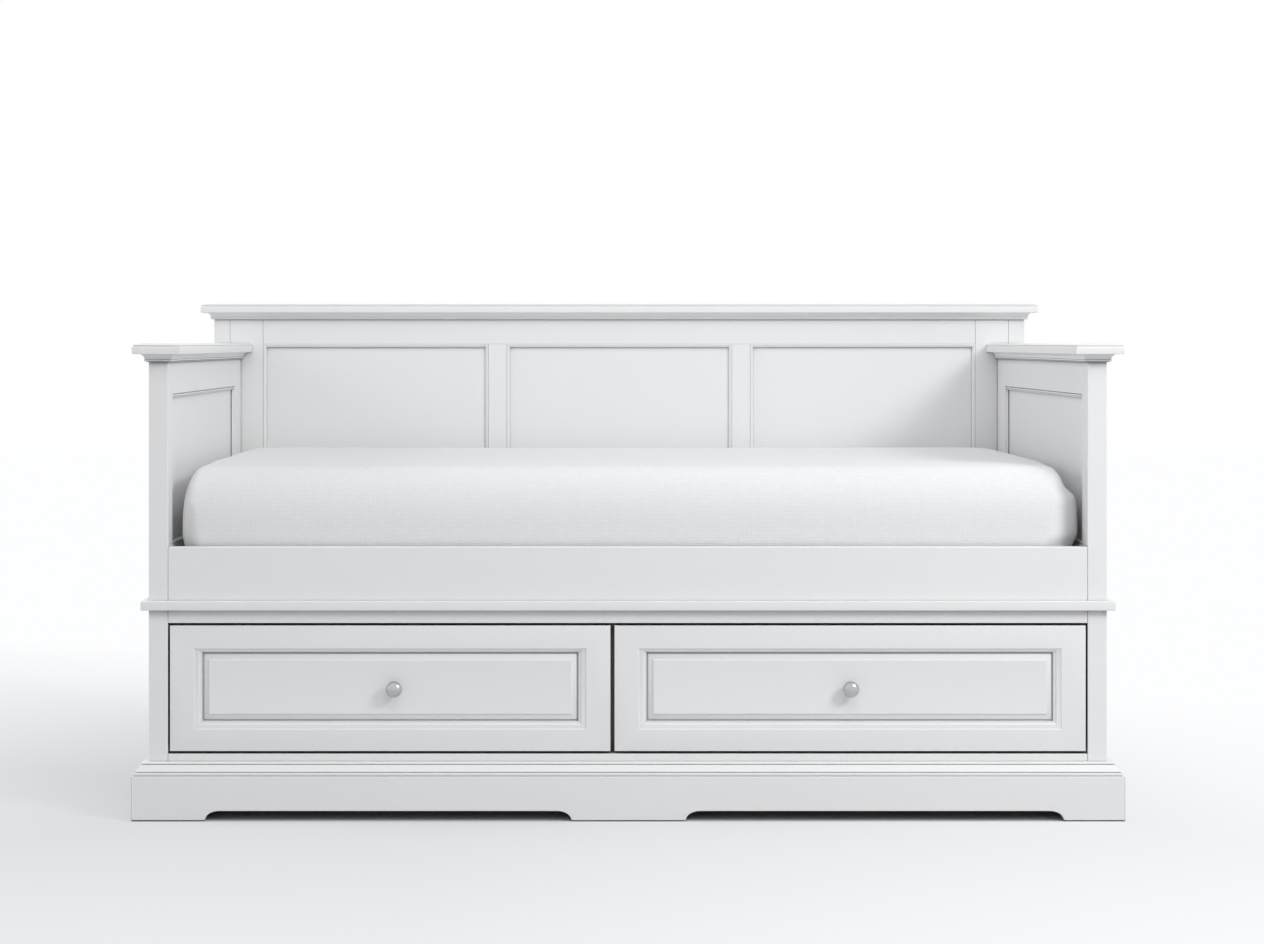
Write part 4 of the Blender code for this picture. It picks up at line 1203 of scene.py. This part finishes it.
def screw_head(radius, rise, recess):
    """A low dome on a round foot. The middle of its top is a cross, sunk with sloping walls."""
    around = 12
    mesh_tool = bmesh.new()

    def ring(reaches, level):
        corners = []
        for i, reach in enumerate(reaches):
            turn = math.tau * i / around
            across, along = radius * reach * math.cos(turn), radius * reach * math.sin(turn)
            corners.append(mesh_tool.verts.new((across, along, level)))
        return corners

    dome = ((1.0, -0.4), (1.0, 0.2), (0.8, 0.75), (0.55, 1.0))
    rings = [ring([reach] * around, rise * level) for reach, level in dome]
    cross = [0.2 if i % 3 else 0.5 for i in range(around)]
    rings += [ring(cross, rise), ring([0.6 * reach for reach in cross], rise - recess)]
    for low, high in zip(rings, rings[1:]):
        for i in range(around):
            j = (i + 1) % around
            mesh_tool.faces.new((low[i], low[j], high[j], high[i]))
    mesh_tool.faces.new(list(reversed(rings[0])))
    mesh_tool.faces.new(rings[-1])
    mesh = bpy.data.meshes.new("screw_head")
    mesh_tool.to_mesh(mesh)
    mesh_tool.free()
    return new_piece("screw_head", mesh)


head = screw_head(4.0 * MM, 1.2 * MM, 1.5 * MM)
PAIR_ALONG, PAIR_ACROSS = 30 * MM, 16 * MM
first_pair = (
    first_slat[0] - PAIR_ALONG / 2,
    BATTEN_FRONTS[0] + BATTEN_WIDTH / 2 - PAIR_ACROSS / 2,
    slat_high.z - 0.9 * MM,
)
screw_values = {
    "Head": head,
    "Columns": SLAT_COUNT,
    "Column Pitch": SLAT_PITCH,
    "Rows": 2,
    "Row Pitch": BATTEN_FRONTS[1] - BATTEN_FRONTS[0],
    "Pair Along": PAIR_ALONG,
    "Pair Across": PAIR_ACROSS,
    "Seed": 3,
    "Finish": ZINC,
}
SCREW_MERGE = 0.001 * MM
screws = grown("slat_screws", make_screw_tree(), screw_values, Matrix.Translation(first_pair), SCREW_MERGE)
bpy.data.objects.remove(head)
hand_over(screws, "root", "nickel")

# %% [markdown]
# ## The mattress
#
# A mattress is a padded box. Its top crowns a little, a wide roll goes round its upper edges, its sides
# draw in below, and its cover is stretched over all of it. The cage below is a grid of quads over a
# rounded box, with the grid lines spaced by the length of the surface, so that the same grid also gives
# the UV map in metres. It starts a few millimetres too small, and a cloth simulation with air pressure
# inside swells it against the cover.

# %% The cage of the mattress
MATTRESS_HALVES = Vector((1900, 990, 233.5)) * MM / 2
SHOULDER = 41 * MM
ROLL = Vector((38, 72, 108)) * MM
CROWN = 3 * MM
DRAW_IN = 2 * MM
SWELL = 4 * MM
CELL = 15.5 * MM
SQUARE_CORNERS, ROUND_CORNERS = 3.6, 2.3
# How far the underside and the ends lie from the rest in the UV map, so that nothing overlaps there.
UNDERSIDE_SHIFT, END_SHIFT = 3.0, 5.0
mattress_low, mattress_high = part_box("mattress")
off_centre = Vector((1.92 * MM, (mattress_low.y + mattress_high.y) / 2, mattress_low.z + MATTRESS_HALVES.z))


def grid_lines(half):
    """Where the grid's lines cross the flat box, closer together on the shoulders."""
    straight = half - SHOULDER
    beyond = straight + SHOULDER * np.tan(np.linspace(0, math.pi / 4, 5)[1:])
    flats = np.linspace(-straight, straight, max(2, round(2 * straight / CELL)) + 1)
    return np.array([*-beyond[::-1], *flats, *beyond])


def rounded_point(point, halves):
    """A point on the rounded box. Its upright corners are square at the left and rounder at the right."""
    straights = [half - SHOULDER for half in halves]
    core = Vector([max(-limit, min(limit, value)) for value, limit in zip(point, straights)])
    reach = (point - core).normalized() * SHOULDER
    flat = math.hypot(reach.x, reach.y)
    if flat:
        power = SQUARE_CORNERS if point.x < 0 else ROUND_CORNERS
        spread = (abs(reach.x / flat) ** power + abs(reach.y / flat) ** power) ** (-1 / power)
        reach.x, reach.y = reach.x * spread, reach.y * spread
    return core + reach


def rolled(distance, reach, roll):
    """Stretch the shoulder's share of a distance from the edge into the roll, and the rest evenly."""
    if distance < SHOULDER:
        return distance * roll / SHOULDER
    if distance > reach:
        return distance
    return roll + (distance - SHOULDER) * (reach - roll) / (reach - SHOULDER)


def padded_point(point, halves):
    """The rounded box with the roll round its top, its crown and its drawn-in sides."""
    point = rounded_point(point, halves)
    height = (point.z + halves.z) / (2 * halves.z)
    for axis in (0, 1):
        roll = SHOULDER + (ROLL[axis] - SHOULDER) * height
        inwards = rolled(halves[axis] - abs(point[axis]), halves[axis], roll)
        point[axis] = math.copysign(halves[axis] - inwards, point[axis])
    point.z = halves.z - rolled(halves.z - point.z, 2 * halves.z - SHOULDER, ROLL.z)
    across, along, up = point.x / halves.x, point.y / halves.y, point.z / halves.z
    if up > 0:
        point.z -= CROWN * abs(along) ** 4 * up
    draw = DRAW_IN * up * up * (1 if up > 0 else 0.3)
    point.x -= draw * across
    point.y -= draw * along
    return point


def surface_lengths(lines, halves):
    """How far along the finished surface each grid line lies, over the top or down the front."""
    paths = (
        [Vector((at, 0, halves.z)) for at in lines[0]],
        [Vector((0, at, halves.z)) for at in lines[1]],
        [Vector((0, -halves.y, at)) for at in lines[2]],
    )
    lengths = []
    for path in paths:
        spots = np.array([padded_point(spot, halves) for spot in path])
        steps = np.linalg.norm(np.diff(spots, axis=0), axis=1)
        along = np.concatenate(([0], np.cumsum(steps)))
        lengths.append(along - along[len(along) // 2])
    return lengths


def mattress_cage(name):
    halves = MATTRESS_HALVES - Vector((SWELL, SWELL, SWELL))
    lines = [grid_lines(half) for half in halves]
    lengths = surface_lengths(lines, halves)
    ends = [length[-1] for length in lengths]
    points, faces, corners_uv, index = [], [], [], {}

    def corner(i, j, k):
        key = (i, j, k)
        if key not in index:
            index[key] = len(points)
            flat = Vector((lines[0][i], lines[1][j], lines[2][k]))
            points.append(padded_point(flat, halves))
        return index[key]

    counts = [len(line) - 1 for line in lines]
    for axis in range(3):
        u_axis, v_axis = [other for other in range(3) if other != axis]
        for side in (0, counts[axis]):
            outward = 1 if side else -1
            for a in range(counts[u_axis]):
                for b in range(counts[v_axis]):
                    square = []
                    for da, db in ((0, 0), (1, 0), (1, 1), (0, 1)):
                        step = [0, 0, 0]
                        step[axis], step[u_axis], step[v_axis] = side, a + da, b + db
                        arcs = [lengths[k][step[k]] for k in range(3)]
                        if axis == 2:
                            uv = (arcs[0], arcs[1] + (0 if side else UNDERSIDE_SHIFT))
                        elif axis == 1:
                            uv = (arcs[0], outward * (ends[1] + ends[2] - arcs[2]))
                        else:
                            uv = (outward * (ends[0] + ends[2] - arcs[2]) + END_SHIFT, arcs[1])
                        square.append((corner(*step), uv))
                    faces.append([spot for spot, uv in square])
                    corners_uv += [uv for spot, uv in square]
    mesh = bpy.data.meshes.new(name)
    mesh.from_pydata(points, [], faces)
    layer = mesh.uv_layers.new(name="cover")
    layer.data.foreach_set("uv", np.array(corners_uv, dtype=np.float32).ravel())
    mesh_tool = bmesh.new()
    mesh_tool.from_mesh(mesh)
    bmesh.ops.recalc_face_normals(mesh_tool, faces=mesh_tool.faces)
    mesh_tool.to_mesh(mesh)
    mesh_tool.free()
    mesh.transform(Matrix.Translation(off_centre))
    mesh.shade_smooth()
    return new_piece(name, mesh, COTTON)


mattress = mattress_cage("woven_mattress")
print("cage points:", len(mattress.data.vertices), "faces:", len(mattress.data.polygons))

# %% [markdown]
# The simulation lets the cage swell for twenty frames. Without a limit it would grow into a balloon,
# so no point may move further than a few millimetres from where it began: a firm mattress only fills
# its cover. The cloth modifier is then taken off, and the points stay where it left them.

# %% Swell the mattress
def point_array(mesh):
    flat = np.empty(len(mesh.vertices) * 3, dtype=np.float32)
    mesh.vertices.foreach_get("co", flat)
    return flat.reshape(-1, 3)


def swell(piece, furthest, frames=20):
    start = point_array(piece.data)
    cloth = piece.modifiers.new("swelling", "CLOTH")
    settings = cloth.settings
    settings.quality = 4
    settings.mass = 0.4
    settings.tension_stiffness = settings.compression_stiffness = 20
    settings.shear_stiffness = 10
    settings.bending_stiffness = 2
    settings.use_pressure = True
    settings.uniform_pressure_force = 4
    settings.effector_weights.gravity = 0
    cloth.collision_settings.use_collision = False
    for number in range(1, frames + 1):
        scene.frame_set(number)
    evaluated = piece.evaluated_get(bpy.context.evaluated_depsgraph_get())
    moved = point_array(evaluated.data) - start
    lengths = np.linalg.norm(moved, axis=1, keepdims=True)
    capped = moved * np.minimum(1, furthest / np.maximum(lengths, 1e-9))
    piece.modifiers.remove(cloth)
    piece.data.vertices.foreach_set("co", (start + capped).ravel())
    piece.data.update()
    scene.frame_set(1)
    return float(np.linalg.norm(capped, axis=1).mean())


print("mean swelling in mm:", round(swell(mattress, SWELL) / MM, 2))

# %% [markdown]
# The cover is smoothed once more and fitted to its place, since smoothing shrinks it a little. Then it
# gets what a simulation of this size is too coarse for. Both front corners are folded flat, the right
# one more. Its upper part is drawn in above a small notch, and the spare cloth bulges below it. Further
# down, both are tucked in under the mattress. Each pull goes along X and fades away from the corner, and
# two short creases are pressed in last.

# %% Fold the cover's corners
def smoothed(piece):
    subdivision = piece.modifiers.new("smooth", "SUBSURF")
    subdivision.levels = subdivision.render_levels = 1
    name, material = piece.name, piece.data.materials[0]
    return new_piece(name, evaluated_mesh(piece), material)


def soft_step(values, low, high):
    share = np.clip((values - low) / (high - low), 0, 1)
    return share * share * (3 - 2 * share)


CREASES = (
    (Vector((-0.898, -0.492, 0.712)), Vector((0.75, 0.2, 0.65)), Vector((0.6, 0.6, -0.5))),
    (Vector((0.921, -0.494, 0.689)), Vector((0.9, -0.1, -0.45)), Vector((-0.5, 0.8, -0.2))),
)
CREASE_LENGTH, CREASE_WIDTH, CREASE_DEPTH = 17 * MM, 6.5 * MM, 4 * MM
# The width, the depth and the roundness of the flat fold at the right and at the left.
FOLDS = {1: (74 * MM, 46 * MM, 1.2), -1: (42 * MM, 26 * MM, 1.5)}
# Between which places each pull fades in or out, and how far it pulls.
FRONT_REACH, RIGHT_REACH, LEFT_REACH = (-0.42, -0.18), (0.80, 0.92), (-0.93, -0.84)
NOTCH_REACH, TUCK_REACH, NOTCH_SLOPE = (0.660, 0.684), (0.555, 0.592), 0.10
NOTCH_PULL, TUCK_PULL, LEFT_PULL, LEFT_TUCK_PULL = 17 * MM, 13 * MM, 7 * MM, 6 * MM


def folded_flat(points, side, end, front):
    """A front corner where the cover is folded flat across the corner instead of round it."""
    width, depth, power = FOLDS[side]
    across = (side * (points[:, 0] - end) + width) / width
    along = ((front + depth) - points[:, 1]) / depth
    in_corner = (across > 0) & (along > 0)
    across, along = np.clip(across, 1e-6, None), np.clip(along, 1e-6, None)
    reach = (across**power + along**power) ** (1 / power)
    back = np.where(in_corner & (reach > 1), 1 / reach, 1)
    points[:, 0] = np.where(in_corner, end - side * width * (1 - across * back), points[:, 0])
    points[:, 1] = np.where(in_corner, front + depth * (1 - along * back), points[:, 1])
    return points


def creased(points):
    """Short dents in the cover, each a bump function round a point, pressed in along a direction."""
    for middle, along, inward in CREASES:
        away = points - np.array(middle)
        lengthwise = away @ np.array(along.normalized())
        sideways = (away**2).sum(axis=1) - lengthwise**2
        depth = np.exp(-((lengthwise / CREASE_LENGTH) ** 2) - sideways / CREASE_WIDTH**2)
        points = points + CREASE_DEPTH * depth[:, None] * np.array(inward.normalized())
    return points


def fit_and_fold(piece, low, high):
    points = point_array(piece.data)
    had_low, had_high = points.min(axis=0), points.max(axis=0)
    points = (points - had_low) / (had_high - had_low) * np.array(high - low) + np.array(low)
    for side, end in ((1, high.x), (-1, low.x)):
        points = folded_flat(points, side, end, low.y)
    x, y, z = points.T.copy()
    near_front = 1 - soft_step(y, *FRONT_REACH)
    right, left = soft_step(x, *RIGHT_REACH), 1 - soft_step(x, *LEFT_REACH)
    above_notch = soft_step(z - NOTCH_SLOPE * (y + 0.5), *NOTCH_REACH)
    tuck = 1 - soft_step(z, *TUCK_REACH)
    points[:, 0] -= NOTCH_PULL * right * near_front * above_notch
    points[:, 0] -= TUCK_PULL * right * near_front * tuck
    points[:, 0] += (LEFT_PULL + LEFT_TUCK_PULL * tuck) * left * near_front
    points = creased(points)
    piece.data.vertices.foreach_set("co", points.astype(np.float32).ravel())
    piece.data.update()
    return had_low, had_high


mattress = smoothed(mattress)
had_low, had_high = fit_and_fold(mattress, mattress_low, mattress_high)
print("mattress before the fit:", had_low.round(4), had_high.round(4))
hand_over(mattress, "mattress", "white_cotton", "mattress")
print("mattress faces:", len(mattress.data.polygons))

# %% [markdown]
# ## Floor, backdrop and light
#
# The photograph was taken in a white studio: a pale floor that fades into white, a soft lamp to the
# right and above the camera, and light from all round. That lamp is the only one that shows in gloss,
# as the single highlight on each knob. The floor's own surface takes the bed's shadow near the bed, but
# for what the camera sees a share of plain white is mixed in right beside the bed, more towards the
# right, as painted light that lightens that shadow. Further away it gives way to plain white, but only
# for what the camera sees, so that it sends no more light onto the bed than a pale floor does.

# %% The floor
FLOOR_TONES = (0.595, 0.60, 0.61, 1), (0.605, 0.61, 0.62, 1)
# How much of the floor is plain white to the camera, painted light that lightens the bed's shadow: beside the
# bed, a metre away, and more to the right.
NEAR_LIFT, FAR_LIFT, RIGHT_LIFT = 0.38, 0.30, 0.22
BED_FOOT = (1.0304, -0.5720, 0.5560)


def camera_sees(tree):
    """One for what the camera sees, also in a reflection or through glass."""
    sight = add_node(tree, "ShaderNodeLightPath").outputs
    mirrored = calc(tree, "MAXIMUM", sight["Is Glossy Ray"], sight["Is Transmission Ray"])
    return calc(tree, "MAXIMUM", sight["Is Camera Ray"], mirrored)


def floor_material():
    material, tree, shader = new_material("studio_floor", (0.85, 0.85, 0.86))
    place = own_place(tree)
    speckle = mix_colours(tree, noise(tree, place, 3.0, 2.0), *FLOOR_TONES)
    tree.links.new(speckle, shader.inputs["Base Color"])
    shader.inputs["Roughness"].default_value = 0.75
    shader.inputs["Specular IOR Level"].default_value = 0.2
    white = add_node(tree, "ShaderNodeEmission", {"Color": (0.985, 0.99, 1, 1), "Strength": 1.0}).outputs[0]
    parts = parts_of(tree, place)
    far = calc(tree, "MULTIPLY_ADD", parts[0], 0.35, parts[1])
    fade = remap(tree, far, -0.5, 1.6)
    half_width, front, rear = BED_FOOT
    beside = calc(tree, "SUBTRACT", calc(tree, "ABSOLUTE", parts[0]), half_width)
    before = calc(tree, "SUBTRACT", front, parts[1])
    behind = calc(tree, "SUBTRACT", parts[1], rear)
    outside = calc(tree, "MAXIMUM", beside, calc(tree, "MAXIMUM", before, behind))
    clear = remap(tree, outside, -4 * MM, 4 * MM)
    clear_seen = calc(tree, "MULTIPLY", camera_sees(tree), clear)
    # Painted light: the white share beside the bed lightens its shadow there, and more so to the right.
    away = calc(tree, "MULTIPLY_ADD", remap(tree, outside, 0.0, 1.0), FAR_LIFT, NEAR_LIFT)
    lift = calc(tree, "MULTIPLY_ADD", remap(tree, parts[0], -0.4, 1.4, -0.4, 1.4), RIGHT_LIFT, away)
    lifted = calc(tree, "MULTIPLY", clear_seen, lift)
    near = add_node(tree, "ShaderNodeMixShader", {0: lifted, 1: shader.outputs[0], 2: white})
    share = calc(tree, "MULTIPLY", fade, clear_seen)
    both = add_node(tree, "ShaderNodeMixShader", {0: share, 1: near.outputs[0], 2: white})
    tree.links.new(both.outputs[0], tree.nodes["Material Output"].inputs["Surface"])
    return material


floor_mesh = bpy.data.meshes.new("studio_floor")
floor_mesh.from_pydata([(-14, -9, 0), (14, -9, 0), (14, 16, 0), (-14, 16, 0)], [], [(0, 1, 2, 3)])
floor = new_piece("studio_floor", floor_mesh, floor_material())
print("floor:", floor.name)

# %% The light all round
world = bpy.data.worlds.new("white_studio")
scene.world = world
world.use_nodes = True
sky = world.node_tree
sky.nodes.clear()
seen = camera_sees(sky)
ROOM_LIGHT = 0.515
soft = add_node(sky, "ShaderNodeBackground", {0: (0.97, 0.985, 1.0, 1), 1: ROOM_LIGHT}).outputs[0]
white = add_node(sky, "ShaderNodeBackground", {0: (1, 1, 1, 1), 1: 1.0}).outputs[0]
choice = add_node(sky, "ShaderNodeMixShader", {0: seen, 1: soft, 2: white}).outputs[0]
sky.links.new(choice, add_node(sky, "ShaderNodeOutputWorld").inputs[0])
print("room light:", ROOM_LIGHT)


# %% The lamps
def lamp(name, place, target, size, power):
    data = bpy.data.lights.new(name, "AREA")
    data.shape = "RECTANGLE"
    data.size, data.size_y = size
    data.energy = power
    light = bpy.data.objects.new(name, data)
    light.location = place
    light.rotation_euler = (Vector(target) - Vector(place)).to_track_quat("-Z", "Y").to_euler()
    scene.collection.objects.link(light)
    return light


LAMPS = (
    ("key_lamp", (3.0, -2.9, 2.9), (0.1, -0.4, 0.4), (1.2, 1.2), 78),
    ("front_lamp", (0.3, -3.2, 4.6), (0.1, -0.2, 0.5), (3.0, 1.6), 43),
    ("overhead_lamp", (0.5, -0.8, 4.0), (0.2, 0.0, 0.0), (3.0, 3.0), 17),
    ("left_lamp", (-4.2, -0.4, 2.0), (0.0, 0.0, 0.6), (2.0, 2.0), 51),
)
for plan in LAMPS:
    light = lamp(*plan)
    light.visible_glossy = plan[0] == "key_lamp"
    print("lamp:", light.name, plan[-1])
